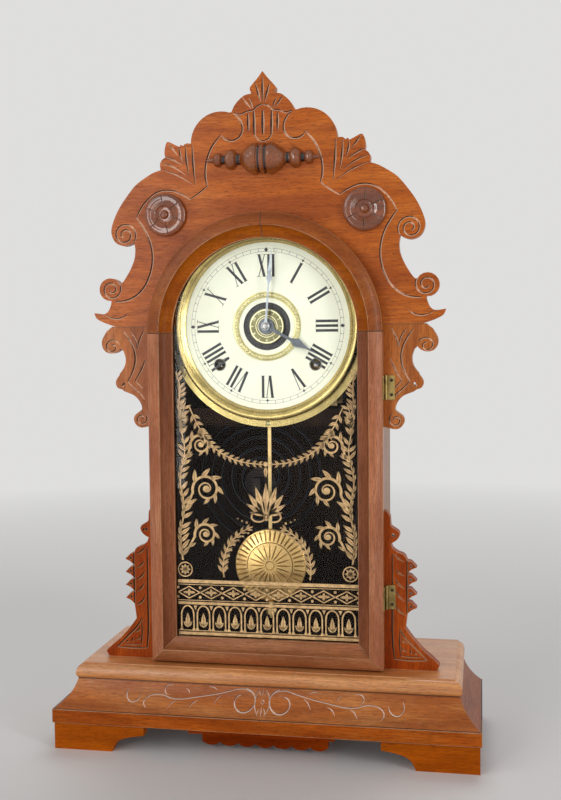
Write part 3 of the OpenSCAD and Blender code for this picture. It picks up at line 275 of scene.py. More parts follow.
# Pale colour: partly wear, partly painted reflection on the top.
deck_walnut = walnut("deck_walnut", "x", (0.9, 0.385, 0.12), (0.5, 0.165, 0.038), (0.95, 0.57, 0.26),
                     worn=0.4, seed=8.0, joints=[("z", FRIEZE_TOP, 1.2)], sheen=2.6)
deck = take_board("deck", "deck_eased", deck_walnut)
ease(deck, 0.0005, sharper=40)
settle(deck, "deck", "case")


# ---------------------------------------------------------------- Carved frieze
# The hollow board over the band, with a running vine cut into it by hand with a small V gouge.
# The walls of every cut that face up or to the left are pale, with dust and a painted highlight.


def ramp(owner, value, stops, kind="LINEAR"):
    """Colours that follow a value, given as (place, colour) from low to high."""
    node = owner.node_tree.nodes.new("ShaderNodeValToRGB")
    node.color_ramp.interpolation = kind
    for number, (place, colour) in enumerate(stops):
        stop = node.color_ramp.elements[number] if number < 2 else node.color_ramp.elements.new(0.95)
        stop.position, stop.color = place, (*colour, 1.0)
    owner.node_tree.links.new(value, node.inputs["Fac"])
    return node.outputs["Color"]


def groove_finish(name, wall, dust_and_highlight_colour):
    """The inside of a gouge cut: dark wood, with pale dust and a painted highlight where its wall faces up or
    to the left.
    """
    cut = begin(name)
    lie = parted(cut, cut.node_tree.nodes.new("ShaderNodeNewGeometry").outputs["Normal"])
    # Painted highlight: walls that face up or to the left are coloured pale, speckled like dust.
    facing = sums(cut, "MAXIMUM", lie["Z"], sums(cut, "MULTIPLY", lie["X"], -1.0))
    dust_and_highlight = sums(cut, "MULTIPLY", facing, speckle(cut, 420.0, 4.0))
    feed(cut, ramp(cut, dust_and_highlight, ((0.08, wall), (0.26, dust_and_highlight_colour))), "Base Color")
    polish(cut, {"Roughness": 0.35})
    return cut


def reface(board, finish, chosen):
    """Gives another finish to the faces that a test picks."""
    board.data.materials.append(finish)
    for face in board.data.polygons:
        if chosen(face):
            face.material_index = len(board.data.materials) - 1


IN_FRONT, NEAR_FACE = -0.3, -0.027


def carve(node, name, strokes, wide, deep, wood, cut, body, arris=0.0004, bare=None):
    """Takes a board, eases it and cuts V grooves along strokes, given as (x, z, size) in mm.

    The blade is a V on a curve. Its points are laid on the board's face by a ray from in front."""
    board = take_board(node, name, wood)
    if bare:
        reface(board, bare, lambda face: face.normal.y > 0.9)
    if arris:
        ease(board, arris)
    bpy.ops.object.select_all(action="DESELECT")

    bpy.ops.curve.primitive_bezier_circle_add(radius=0.001)
    blade = bpy.context.object
    blade.data.splines.clear()
    edge = blade.data.splines.new("POLY")
    edge.points.add(2)
    for point, (x, y) in zip(edge.points, ((-2 * wide, deep), (2 * wide, deep), (0, -deep))):
        point.co = (x / 1000, y / 1000, 0, 1)
    edge.use_cyclic_u = True
    bpy.ops.curve.primitive_bezier_curve_add()
    tool = bpy.context.object
    tool.data.dimensions = "2D"
    tool.data.splines.clear()
    tool.data.bevel_mode = "OBJECT"
    tool.data.bevel_object = blade
    tool.data.use_fill_caps = True
    tool.data.resolution_u = 5
    for line in strokes:
        path = tool.data.splines.new("BEZIER")
        path.bezier_points.add(len(line) - 1)
        for knot, (x, z, size) in zip(path.bezier_points, line):
            knot.co = (x / 1000, z / 1000, 0)
            knot.radius = size
            knot.handle_left_type = knot.handle_right_type = "AUTO"
    hold(tool)
    bpy.ops.object.convert(target="MESH")
    tool.data.materials.clear()
    tool.data.materials.append(cut)
    for corner in tool.data.vertices:
        x, z, out = corner.co
        found, spot, *_ = clock[node].ray_cast((x, IN_FRONT, z), (0, 1, 0))
        corner.co = (x, (spot.y if found else NEAR_FACE) - out, z)
    bpy.ops.object.mode_set(mode="EDIT")
    bpy.ops.mesh.select_all(action="SELECT")
    bpy.ops.mesh.remove_doubles(threshold=0.000002)
    bpy.ops.mesh.normals_make_consistent(inside=False)
    bpy.ops.object.mode_set(mode="OBJECT")

    hold(board)
    bpy.ops.object.modifier_add(type="BOOLEAN")
    bite = board.modifiers[-1]
    bite.operation, bite.solver, bite.object = "DIFFERENCE", "EXACT", tool
    bite.use_self, bite.material_mode = True, "TRANSFER"
    bpy.ops.object.modifier_apply(modifier=bite.name)
    for scrap in (tool, blade):
        bpy.data.objects.remove(scrap)
    settle(board, node, body)


def stroke(points, size=1.0, tail=0.25):
    """A gouge stroke through points, entering and leaving the wood at its ends."""
    last = len(points) - 1
    return [(x, z, size * (tail if place in (0, last) else 1.0)) for place, (x, z) in enumerate(points)]


def mirrored(strokes):
    """The strokes and their mirror images on the other half of the clock."""
    return strokes + [[(-x, z, size) for x, z, size in one] for one in strokes]


def curl(x, z, radius, start, turn, steps, inner, size=1.0):
    """A volute line that winds in from radius to inner through turn degrees."""
    path = []
    for step in range(steps + 1):
        share = step / steps
        angle = math.radians(start + turn * share)
        reach = radius + (inner - radius) * share
        path.append((x + reach * math.cos(angle), z + reach * math.sin(angle)))
    return stroke(path, size, 0.6)


VINE = mirrored([
    curl(16, 45.5, 11.5, 100, 330, 16, 5.5, 1.2),
    stroke([(6, 50), (11, 54.5), (18, 56.0), (29, 53), (40, 50), (50, 48), (60, 46), (68, 44.8), (76, 45),
            (85, 47.5), (92, 47), (97.5, 44), (99, 40.5), (96.5, 36.5)]),
    stroke([(38, 54), (41, 56), (45, 56.8)]),
    stroke([(34, 50), (37.5, 46.5), (40, 41.5)]),
    stroke([(61, 49.5), (62, 52), (64.5, 54)]),
    stroke([(53, 44.5), (57.5, 42), (60, 38)]),
    stroke([(72, 43.5), (75.5, 41), (78, 37)]),
    stroke([(75, 55.8), (79, 56.3), (82, 54), (82, 50.5), (80, 47.5)]),
    stroke([(102, 48), (103.5, 43.5), (107, 40.8), (111, 41), (114, 44.5), (114.5, 48.5), (113.5, 52)]),
    stroke([(3.2, 56), (5.6, 50), (6.2, 45.5), (5.6, 41), (3.4, 36)]),
    stroke([(1.6, 51), (2.6, 54), (2.6, 57)], 0.8),
    stroke([(1.6, 41), (2.8, 38.5), (3, 35)], 0.8),
]) + [
    stroke([(0, 50.5), (0, 54), (0, 57.5)], 0.9),
    stroke([(0, 42), (0, 38.5), (0, 34.6)], 0.9),
    stroke([(-1.5, 46), (0, 47.6), (1.5, 46), (0, 44.2), (-1.2, 45.4)], 0.9),
]
DRAWN_FOOT, VINE_FOOT, VINE_SCALE = 34.6, 35.2, 0.84
VINE = [[(x, VINE_FOOT + (z - DRAWN_FOOT) * VINE_SCALE, size * 0.85) for x, z, size in one] for one in VINE]
vine_cut = groove_finish("vine_cut", (0.10, 0.045, 0.028), (0.86, 0.68, 0.59))
carve("frieze_front", "frieze_carved", VINE, 0.48, 0.60, frieze_walnut, vine_cut, "case", arris=0)


# ---------------------------------------------------------------- Case
# The box itself: walnut sides and top rabbeted for a thin pine back, which was left unvarnished outside
# and is near black inside from dark stain and painted shade, as are the strips that carry the dial and the
# glass and the inner faces of the sides.

case_walnut = walnut("case_walnut", "z", (0.385, 0.153, 0.055), (0.185, 0.063, 0.018), (0.54, 0.235, 0.09),
                     worn=0.2, seed=11.0)
case_top_walnut = walnut("case_top_walnut", "x", (0.30, 0.10, 0.03), (0.15, 0.040, 0.010),
                         (0.40, 0.16, 0.06), seed=11.5)
# Near-black wood inside the case: dark stain and painted shade.
inner_wood = walnut("inner_wood", "z", (0.020, 0.010, 0.006), (0.010, 0.005, 0.003), (0.032, 0.017, 0.010),
                    gloss=0.6, seed=9.0, sheen=0.1)
sides = take_board("case_sides", "case_sides_dark_inside", case_walnut)
reface(sides, inner_wood, lambda face: face.normal.x * face.center.x < -0.01)
settle(sides, "case_sides", "case")
dress(case_top_walnut, "case_top")
dress(inner_wood, "dial_supports", "glass_strips")
raw_pine = walnut("raw_pine", "z", (0.40, 0.24, 0.11), (0.24, 0.13, 0.05), (0.52, 0.34, 0.18), worn=0.2,
                  gloss=0.6, figure=7.0, seed=12.0)
back = take_board("backboard", "backboard_dark_inside", inner_wood)
reface(back, raw_pine, lambda face: face.normal.y > -0.5)
settle(back, "backboard", "case")


# ---------------------------------------------------------------- Crest
# One wide walnut board sawn to its outline, then carved: a fluted tablet under the leaf finial, fans on the
# shoulders, round volutes, and long V lines that follow the outline down. Its back was never varnished.

crest_walnut = walnut("crest_walnut", "x", (0.62, 0.143, 0.007), (0.31, 0.052, 0.002), (0.85, 0.255, 0.036),
                      worn=0.12, seed=13.0)
bare_walnut = walnut("bare_walnut", "x", (0.22, 0.100, 0.045), (0.11, 0.045, 0.020), (0.32, 0.165, 0.080),
                     gloss=0.6, seed=13.5, sheen=0.2)
crest_cut = groove_finish("crest_cut", (0.045, 0.013, 0.005), (0.88, 0.55, 0.38))
CREST_LINES = mirrored([
    stroke([(6.0, 545), (3.6, 536.5), (1.7, 529.5)], 1.5),
    stroke([(11.5, 532.8), (9.5, 528.5), (8.0, 524.5)], 1.1),
    stroke([(17.0, 534), (13.2, 528.8), (9.6, 524.6)], 1.1),
    stroke([(0.2, 527.8), (4.2, 526.4), (8.0, 523.2), (13.5, 522.2), (19.0, 520.3), (24.2, 521.6)], 0.9, 0.8),
    stroke([(7.4, 522.2), (7.2, 512), (7.0, 503.5)], 1.8, 0.6),
    stroke([(7.0, 503.5), (4.2, 499.6), (0.1, 498.0)], 0.9, 0.9),
    stroke([(12.2, 520.3), (12.2, 513.5), (12.0, 507)], 1.7, 0.5),
    stroke([(24.6, 521.6), (19.4, 516.4), (17.0, 509.8), (18.4, 503.8), (22.6, 500.2), (28, 499.7),
            (32.2, 501.4), (35, 504.4)], 1.1),
    stroke([(35, 504.4), (41.5, 497), (45.6, 489), (48.2, 479), (48.2, 469.5), (46.8, 463.6)], 1.2, 0.6),
    stroke([(46.8, 463.6), (54, 458.2), (61.8, 453.2)], 1.0, 0.6),
    stroke([(61.8, 453.2), (69, 457.6), (79, 461.0), (90, 459.6), (98.6, 453.4), (104.6, 446), (108, 439.6)],
           1.0, 0.6),
    stroke([(108, 439.6), (103.2, 432.8), (98.6, 424.8), (95.8, 416.5), (94.6, 407.5), (95.4, 398.5),
            (98.2, 389.5), (103, 381), (109.4, 375), (117, 371.4), (127.5, 370)], 1.2, 0.6),
    stroke([(59.4, 498), (58.6, 482), (57.2, 465.4)], 1.5),
    stroke([(65.0, 497), (64.4, 486), (62.6, 473.5)], 1.4),
    stroke([(70.2, 496), (69.6, 490), (67.6, 483.6)], 1.3),
    stroke([(79.5, 499.5), (76.0, 494.8), (71.8, 489.6)], 1.2),
    stroke([(84, 489.4), (76.5, 486.4), (68.4, 481.4)], 1.1),
    stroke([(86.2, 484.2), (76.5, 480.6), (65.2, 473.2)], 1.0),
    stroke([(86.5, 478.6), (73.5, 473.8), (59.6, 465.6)], 0.9),
    curl(118.4, 425.6, 10.0, 215, -640, 26, 2.2, 0.95),
    curl(131.0, 380.6, 8.9, 130, 560, 24, 2.2, 0.95),
    stroke([(116.8, 360.2), (122, 356.9), (129, 356.2), (138.4, 359.4)], 1.0),
]) + [
    stroke([(0, 550), (0, 540), (0, 530)], 1.6),
    stroke([(0, 522.6), (0, 513), (0, 503.6)], 1.9, 0.6),
]
carve("crest_board", "crest_carved", CREST_LINES, 0.75, 0.80, crest_walnut, crest_cut, "case",
      bare=bare_walnut)


# ---------------------------------------------------------------- Side brackets
# Scrolled walnut brackets sawn from thin board and glued to the case sides: a pair hangs under the crest,
# carved to go on with its lines, and a notched pair stands on the deck.

CREST_Z = 349.5
bracket_walnut = walnut("bracket_walnut", "z", (0.59, 0.160, 0.017), (0.27, 0.056, 0.005),
                        (0.85, 0.31, 0.08), seed=14.0, joints=[("z", CREST_Z, 0.9)])
UPPER_LINES = mirrored([
    stroke([(120.6, 345), (115.2, 337), (111.6, 328), (111.2, 320), (113.6, 311.4), (118, 303.2)], 1.2, 0.6),
    stroke([(118, 303.2), (112.6, 297.6), (107, 292.6), (103.6, 288.2)], 1.0, 0.6),
    stroke([(103.4, 346), (107, 338.4), (109.0, 331)], 1.2, 0.5),
    stroke([(115.2, 345.2), (110.8, 338.6), (109.0, 331)], 1.0, 0.5),
    stroke([(102.4, 321.4), (106, 313), (111.4, 304)], 1.2, 0.6),
    stroke([(111.4, 304), (108.2, 300.4), (105.2, 297.6)], 1.0, 0.6),
    curl(131.2, 332.2, 6.6, 160, -440, 18, 1.8, 0.9),
    curl(106.6, 272.0, 5.6, 120, 430, 16, 1.6, 0.9),
    stroke([(121.8, 300.9), (122.6, 300.0), (122.0, 299.0)], 1.5, 0.8),
])
carve("upper_brackets", "upper_brackets_carved", UPPER_LINES, 0.70, 0.80, bracket_walnut, crest_cut, "case",
      bare=bare_walnut)
LOWER_LINES = mirrored([
    stroke([(103.5, 163), (103.5, 120), (103.7, 90), (105.0, 76.6)], 1.3, 0.7),
    stroke([(105.0, 76.6), (118, 75.9), (131.5, 76.4)], 1.2, 0.7),
    stroke([(131.5, 76.4), (121.6, 86.4), (113.2, 95.2), (109.4, 101.6)], 1.3, 0.7),
    stroke([(109.4, 99.0), (109.2, 88), (110.2, 79.2)], 1.0, 0.6),
    stroke([(110.2, 79.2), (118, 78.7), (126.0, 79.0)], 0.9, 0.6),
    stroke([(115.5, 158), (115.4, 136), (115.3, 114.6)], 1.4, 0.6),
    stroke([(103.4, 169.8), (107.6, 165.8), (113.0, 163.4)], 1.2),
    stroke([(104.6, 163.6), (108.6, 159.4), (113.2, 156.8)], 1.5),
    stroke([(106.4, 151.2), (109.2, 147.4), (113.2, 145.2)], 1.5),
    stroke([(105.6, 143.2), (109, 138), (113.6, 134.6)], 1.5),
    stroke([(106.2, 133.2), (109.2, 128), (113.4, 124.4)], 1.5),
    stroke([(105.8, 121.8), (109.2, 116), (114.4, 112.8)], 1.5),
    stroke([(110.6, 94.6), (112.4, 91.4), (115.8, 89.6)], 1.3),
    stroke([(110.2, 87.2), (112.2, 84.2), (115.4, 82.8)], 1.3),
    stroke([(118.2, 85.4), (118.0, 82.8), (118.6, 80.6)], 1.3),
    stroke([(121.4, 82.4), (122.2, 81.6), (123.4, 80.8)], 1.4, 0.6),
    stroke([(105.4, 178.8), (106.2, 178.0), (105.8, 177.0)], 1.5, 0.8),
    stroke([(118.0, 152.6), (119.0, 151.8), (119.8, 152.4)], 1.3, 0.6),
    stroke([(118.0, 141.5), (119.0, 140.7), (119.8, 141.3)], 1.3, 0.6),
    stroke([(118.0, 130.4), (119.0, 129.6), (119.8, 130.2)], 1.3, 0.6),
    stroke([(118.0, 119.3), (119.0, 118.5), (119.8, 119.1)], 1.3, 0.6),
])
lower_walnut = walnut("lower_walnut", "z", (0.5, 0.08, 0.004), (0.25, 0.033, 0.002), (0.67, 0.15, 0.02),
                      seed=15.0, sheen=0.4)
lower_cut = groove_finish("lower_cut", (0.018, 0.006, 0.003), (0.50, 0.24, 0.12))
carve("lower_brackets", "lower_brackets_carved", LOWER_LINES, 0.70, 0.80, lower_walnut, lower_cut, "case",
      bare=bare_walnut)


# ---------------------------------------------------------------- Rosettes and split spindle
# Turned walnut bosses with six saw cuts across the rim, and half of a turned spindle with two ebonised lines
# by its middle and black bands in its coves that are painted shade, all glued to the face of the crest under
# a darker, glossier varnish.

turned_walnut = walnut("turned_walnut", "x", (0.31, 0.07, 0.013), (0.12, 0.025, 0.004), (0.52, 0.15, 0.038),
                       gloss=0.14, seed=17.0)
LACQUER = {"Coat Weight": 0.8, "Coat Roughness": 0.08, "Coat IOR": 1.65}
polish(turned_walnut, LACQUER)
boss_cut = groove_finish("boss_cut", (0.03, 0.012, 0.006), (0.42, 0.28, 0.22))


def spoke(x, z, angle, radii):
    """Points out from a centre at one angle, in degrees."""
    turn = math.radians(angle)
    return [(x + r * math.cos(turn), z + r * math.sin(turn)) for r in radii]


ROSETTE_X, ROSETTE_Z = 82.5, 441.0
boss_cuts = [stroke(spoke(side * ROSETTE_X, ROSETTE_Z, cut * 60 + first, (5.6, 9, 13, 16.6)), 0.8)
             for side, first in ((-1, 40), (1, 27)) for cut in range(6)]
carve("rosettes", "rosettes_cut", boss_cuts, 0.5, 0.8, turned_walnut, boss_cut, "case",
      arris=0)

spindle_finish = walnut("spindle_finish", "x", (0.35, 0.085, 0.014), (0.15, 0.032, 0.005),
                        (0.56, 0.19, 0.05), gloss=0.12, seed=19.0)
polish(spindle_finish, {**LACQUER, "Coat Weight": 0.7})


def base_colour(material):
    """The colour that leads into a finish so far."""
    return material.node_tree.nodes["Principled BSDF"].inputs["Base Color"].links[0].from_socket


HALF_SPINDLE = 50
# The bands nearest the middle are ebonised lines; the outer two blacken the coves as painted shade.
BLACKED = ((0, 0), (1.9, 1), (3.5, 0), (19.0, 1), (21.6, 0), (31.4, 1), (33.8, 0))
out = sums(spindle_finish, "ABSOLUTE", parted(spindle_finish, on_object(spindle_finish))["X"])
ebony_and_shade = ramp(spindle_finish, between(spindle_finish, out, 0.0, HALF_SPINDLE / 1000),
             [(mm / HALF_SPINDLE, (black, black, black)) for mm, black in BLACKED], "CONSTANT")
painted = blend(spindle_finish, ebony_and_shade, base_colour(spindle_finish), (0.012, 0.008, 0.007))
feed(spindle_finish, painted, "Base Color")
dress(spindle_finish, "split_spindle")


# ---------------------------------------------------------------- Movement
# Rolled brass plates and cut brass wheels on steel arbors, with steel springs and a blued wire gong on an
# iron post. All of it is riveted or pinned, wiped with oil, and left as it came from the lathe.


def metal(name, colour, rough=0.3, stain=(0.2, 0.12, 0.05), stained=0.4):
    """A plain cast or rolled metal, clouded with finger stains."""
    made = begin(name)
    polish(made, {"Metallic": 1.0})
    cloud = speckle(made, 90.0, 8.0, 0.65)
    tarnish = tuple(c * (1 - stained) + s * stained for c, s in zip(colour, stain))
    feed(made, ramp(made, cloud, ((0.38, tarnish), (0.62, colour))), "Base Color")
    feed(made, between(made, cloud, 0.0, 1.0, rough + 0.15, rough), "Roughness")
    return made


brass = metal("brass", (0.78, 0.56, 0.25), 0.28)
steel = metal("steel", (0.50, 0.50, 0.50), 0.3, stain=(0.18, 0.14, 0.12))
blued = metal("blued_steel", (0.012, 0.013, 0.018), 0.3, stain=(0.03, 0.02, 0.02))
iron = metal("cast_iron", (0.05, 0.045, 0.045), 0.55, stain=(0.08, 0.045, 0.03))
dress(brass, "plate_front", "plate_back", "going_great_wheel", "strike_great_wheel", "going_second_arbor",
      "strike_second_arbor", "third_arbor", "escape_arbor", "warning_arbor", "fly", "minute_wheel",
      "hour_wheel", "pendulum_rod", "rating_nut")
dress(steel, "pillars", "mainsprings", "going_winding_arbor", "strike_winding_arbor", "verge", "hammer")
dress(blued, "gong_coil")
dress(iron, "gong_post", "latch_knob", "latch_tongue", "door_keeper")


# ---------------------------------------------------------------- Pendulum bob
# A thin brass shell over a lead disc, struck with flutes round its rim and rays at its centre.
# It rides on the wire rod and rests on the nut that rates the clock.

bob_brass = metal("bob_brass", (0.80, 0.53, 0.21), 0.18, stain=(0.42, 0.27, 0.11), stained=0.35)
bob_cut = metal("bob_shade", (0.50, 0.33, 0.12), 0.3, stain=(0.12, 0.07, 0.03), stained=0.5)
BOB_Z = 148.0


def arc(x, z, radius, first=0, last=360, step=6):
    """Points round a centre, from one angle to another in whole degrees."""
    return [(x + radius * math.cos(math.radians(a)), z + radius * math.sin(math.radians(a)))
            for a in range(first, last + 1, step)]


bob_rays = []
for ray in range(40):
    bob_rays.append(stroke(spoke(0, BOB_Z, ray * 9, (20.6, 23.0, 26.0, 29.4)), 1.5, 0.7))
    if ray % 2 == 0:
        bob_rays.append(stroke(spoke(0, BOB_Z, ray * 9, (4.6, 9.0, 13.5, 18.2)), 1.2, 0.3))
bob_rays += [stroke(arc(0, BOB_Z, ring, step=15), 0.8, 1.0) for ring in (3.6, 19.4)]
carve("pendulum_bob", "bob_struck", bob_rays, 0.5, 0.5, bob_brass, bob_cut, "pendulum", arris=0)


# ---------------------------------------------------------------- Dial
# White enamelled paper on a zinc plate, printed in black, in a spun brass pan and bezel.
# A beaded brass ring frames the hole, through which the alarm disc shows.

DIAL_Z, FACE_Y = ARCH_Z + 5.0, -18.6
bezel_brass = metal("bezel_brass", (0.90, 0.70, 0.33), 0.20, stain=(0.42, 0.32, 0.14), stained=0.5)
add, join = bezel_brass.node_tree.nodes.new, bezel_brass.node_tree.links.new
flat = add("ShaderNodeVectorMath")
flat.operation = "MULTIPLY"
flat.inputs[1].default_value = (1, 0, 1)
join(on_object(bezel_brass), flat.inputs[0])
reach = add("ShaderNodeVectorMath")
reach.operation = "DISTANCE"
reach.inputs[1].default_value = (0, 0, DIAL_Z / 1000)
join(flat.outputs["Vector"], reach.inputs[0])
# Painted reflection and shade: dark olive bands across the rolled rings of the bezel, by distance from the
# dial's middle.
ROLLS_IN, ROLLS_OUT = 0.066, 0.082
RING_SHADES = ((0.0, 0.6), (0.18, 0.7), (0.26, 1.0), (0.34, 0.5), (0.42, 1.0), (0.66, 1.0), (0.72, 0.5),
         (0.80, 0.68))
ring_shades = ramp(bezel_brass, between(bezel_brass, reach.outputs["Value"], ROLLS_IN, ROLLS_OUT),
             [(share, (grey, grey, grey * 0.85)) for share, grey in RING_SHADES])
feed(bezel_brass, blend(bezel_brass, 1.0, base_colour(bezel_brass), ring_shades, "MULTIPLY"), "Base Color")
dress(bezel_brass, "dial_pan", "bezel")

ring_brass = metal("ring_brass", (0.72, 0.66, 0.34), 0.3, stain=(0.34, 0.30, 0.13), stained=0.45)
dull_steel = metal("dull_steel", (0.34, 0.34, 0.33), 0.35, stain=(0.12, 0.11, 0.10), stained=0.5)
RING_EDGE, SCREWS_IN = 0.030, 0.062
trim = take_board("dial_trim", "dial_trim_fitted", ring_brass)
reface(trim, dull_steel,
       lambda face: RING_EDGE < math.hypot(face.center.x, face.center.z - DIAL_Z / 1000) < SCREWS_IN)
settle(trim, "dial_trim", "case")
arbor = take_board("minute_arbor", "minute_arbor_fitted", brass)
reface(arbor, steel, lambda face: face.center.y < FACE_Y / 1000)
settle(arbor, "minute_arbor", "minute_arbor")
hand_steel = metal("hand_steel", (0.46, 0.50, 0.54), 0.22, stain=(0.12, 0.12, 0.14), stained=0.5)
hour_steel = metal("hour_steel", (0.15, 0.165, 0.185), 0.3, stain=(0.04, 0.04, 0.045), stained=0.5)
alarm_brass = metal("alarm_brass", (0.25, 0.235, 0.115), 0.25, stain=(0.06, 0.055, 0.025), stained=0.65)
pale_brass = metal("pale_brass", (0.88, 0.82, 0.55), 0.3, stain=(0.5, 0.44, 0.25), stained=0.4)
dress(hand_steel, "minute_hand")
dress(hour_steel, "hour_hand")
dress(alarm_brass, "alarm_disc")


def mottled(name, scale, detail, darker, paler, levels):
    """A printed or painted finish that drifts between two colours, given as (place, colour)."""
    made = begin(name)
    feed(made, ramp(made, speckle(made, scale, detail), (darker, paler)), "Base Color")
    polish(made, levels)
    return made


paper = mottled("dial_paper", 45.0, 6.0, (0.30, (0.86, 0.86, 0.69)), (0.55, (0.90, 0.91, 0.75)),
                {"Roughness": 0.4, "Specular IOR Level": 0.2})
ink = mottled("dial_ink", 900.0, 2.0, (0.35, (0.010, 0.010, 0.012)), (0.75, (0.035, 0.034, 0.034)),
              {"Roughness": 0.4})
dress(paper, "dial_face")


def plates(name, shapes, back, thick, material):
    """Thin flat plates on the plane y = back, each from its outline in x and z (mm) or its two long sides."""
    corners, faces = [], []
    for shape in shapes:
        first = len(corners)
        if isinstance(shape, tuple):
            count = len(shape[0])
            faces += [(k, k + 1, k + count + 1, k + count) for k in range(first, first + count - 1)]
            shape = shape[0] + shape[1]
        else:
            faces.append(range(first, first + len(shape)))
        corners += [(x / 1000, back / 1000, z / 1000) for x, z in shape]
    sheet = bpy.data.meshes.new(name)
    sheet.from_pydata(corners, [], faces)
    made = bpy.data.objects.new(name, sheet)
    bpy.context.collection.objects.link(made)
    sheet.materials.append(material)
    hold(made)
    bpy.ops.object.mode_set(mode="EDIT")
    bpy.ops.mesh.select_all(action="SELECT")
    bpy.ops.mesh.extrude_region_move(TRANSFORM_OT_translate={"value": (0, -thick / 1000, 0)})
    bpy.ops.mesh.select_all(action="SELECT")
    bpy.ops.mesh.normals_make_consistent(inside=False)
    bpy.ops.object.mode_set(mode="OBJECT")
    made.select_set(False)
    return made


def on_dial(angle, points):
    """Points drawn upright at twelve o'clock, swung clockwise to their hour."""
    turn = math.radians(angle)
    return [(x * math.cos(turn) + r * math.sin(turn), DIAL_Z - x * math.sin(turn) + r * math.cos(turn))
            for x, r in points]


def leg(x0, r0, x1, r1, width):
    """A straight bar between two places on the dial, its ends level."""
    return [(x0 - width / 2, r0), (x0 + width / 2, r0), (x1 + width / 2, r1), (x1 - width / 2, r1)]


NUMERAL_IN, NUMERAL_OUT = 40.8, 59.2
SERIF_THICK, SERIF_WIDE = 0.35, 3.1
WIDTHS = {"I": 3.9, "V": 7.4, "X": 7.6}


def numeral(hour_word, angle):
    """The strokes and serifs of one hour, its foot towards the middle of the dial."""
    bars = []
    at = -sum(WIDTHS[letter] for letter in hour_word) / 2
    for letter in hour_word:
        mid = at + WIDTHS[letter] / 2
        if letter == "I":
            legs = [(mid, mid, 2.15)]
        elif letter == "V":
            legs = [(mid - 0.2, mid - 2.3, 2.15), (mid + 0.3, mid + 2.6, 0.6)]
        else:
            legs = [(mid + 2.3, mid - 2.3, 2.15), (mid - 2.6, mid + 2.6, 0.6)]
        for foot, head, width in legs:
            bars.append(leg(foot, NUMERAL_IN, head, NUMERAL_OUT, width))
            bars.append(leg(head, NUMERAL_OUT - SERIF_THICK, head, NUMERAL_OUT, SERIF_WIDE))
            if letter != "V":
                bars.append(leg(foot, NUMERAL_IN, foot, NUMERAL_IN + SERIF_THICK, SERIF_WIDE))
        at += WIDTHS[letter]
    return [on_dial(angle, bar) for bar in bars]


TRACK_IN, TRACK_OUT, TRACK_LINE = 61.3, 64.0, 0.2
marks = []
for place, hour_word in enumerate("XII I II III IIII V VI VII VIII IX X XI".split()):
    angle = place * 30
    marks += numeral(hour_word, angle)
    if place in (0, 3, 9):
        marks.append(on_dial(angle, [(-1.6, 62.9), (0, 60.8), (1.6, 62.9), (0, 65.0)]))
    else:
        marks.append(on_dial(angle, [(-1.25, 62.0), (0, 59.9), (1.25, 62.0)]))
for minute in range(60):
    marks.append(on_dial(minute * 6, leg(0, TRACK_IN, 0, TRACK_OUT, 0.28)))
for ring in (TRACK_IN, TRACK_OUT):
    for step in range(0, 360, 3):
        near, far = [(0, ring)], [(0, ring + TRACK_LINE)]
        marks.append(on_dial(step, near) + on_dial(step + 3, near + far) + on_dial(step, far))
print_on_dial = plates("dial_print", marks, FACE_Y, 0.05, ink)
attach(print_on_dial, "case")


def gather(pieces, name, material, body, smooth=0):
    """Joins like pieces into one at the origin, smoothed over edges up to an angle, in one material."""
    bpy.ops.object.select_all(action="DESELECT")
    for piece in pieces:
        piece.select_set(True)
    bpy.context.view_layer.objects.active = pieces[0]
    bpy.ops.object.join()
    whole = bpy.context.object
    whole.name = name
    bpy.ops.object.transform_apply(location=True, rotation=True, scale=True)
    if smooth:
        bpy.ops.object.shade_smooth_by_angle(angle=math.radians(smooth))
    whole.data.materials.clear()
    whole.data.materials.append(material)
    whole.select_set(False)
    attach(whole, body)


BEADS, BEAD_REACH = 54, 0.026
beads = []
for bead in range(BEADS):
    turn = math.radians(bead * 360 / BEADS)
    bpy.ops.mesh.primitive_ico_sphere_add(subdivisions=2, radius=0.00125, location=(
        BEAD_REACH * math.sin(turn), (FACE_Y - 0.4) / 1000, DIAL_Z / 1000 + BEAD_REACH * math.cos(turn)))
    bpy.context.object.scale = (1, 0.7, 1)
    beads.append(bpy.context.object)
gather(beads, "dial_ring_beads", pale_brass, "case", smooth=40)

# A black card ring behind the hole in the dial: a dark sheet put there as painted shade of the movement.
SHADE_CARD_Y = -16.9
shade_card = plates("dial_shade_card", [(arc(0, DIAL_Z, 22.5), arc(0, DIAL_Z, 9.0))], SHADE_CARD_Y, 0.35, ink)
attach(shade_card, "case")

ALARM_Y, FIGURE_REACH = -20.2, 0.0118
figures = []
for hour in range(1, 13):
    turn = math.radians(hour * 30)
    bpy.ops.object.text_add(location=(0, 0, 0))
    figure = bpy.context.object
    figure.data.body = str(hour)
    figure.data.size = 0.0030
    figure.data.align_x = figure.data.align_y = "CENTER"
    figure.data.extrude = 0.00003
    figure.data.resolution_u = 2
    bpy.ops.object.convert(target="MESH")
    place = (FIGURE_REACH * math.sin(turn), (ALARM_Y - 0.02) / 1000,
             DIAL_Z / 1000 + FIGURE_REACH * math.cos(turn))
    figure.matrix_world = (Matrix.Translation(place) @ Matrix.Rotation(turn, 4, "Y")
                           @ Matrix.Rotation(math.pi / 2, 4, "X"))
    figures.append(figure)
gather(figures, "alarm_figures", pale_brass, "alarm_disc")
circles = [(arc(0, DIAL_Z, radius - width), arc(0, DIAL_Z, radius))
           for radius, width in ((14.0, 0.9), (9.2, 0.5), (7.4, 0.4))]
alarm_rings = plates("alarm_rings", circles, ALARM_Y, 0.05, pale_brass)
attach(alarm_rings, "alarm_disc")


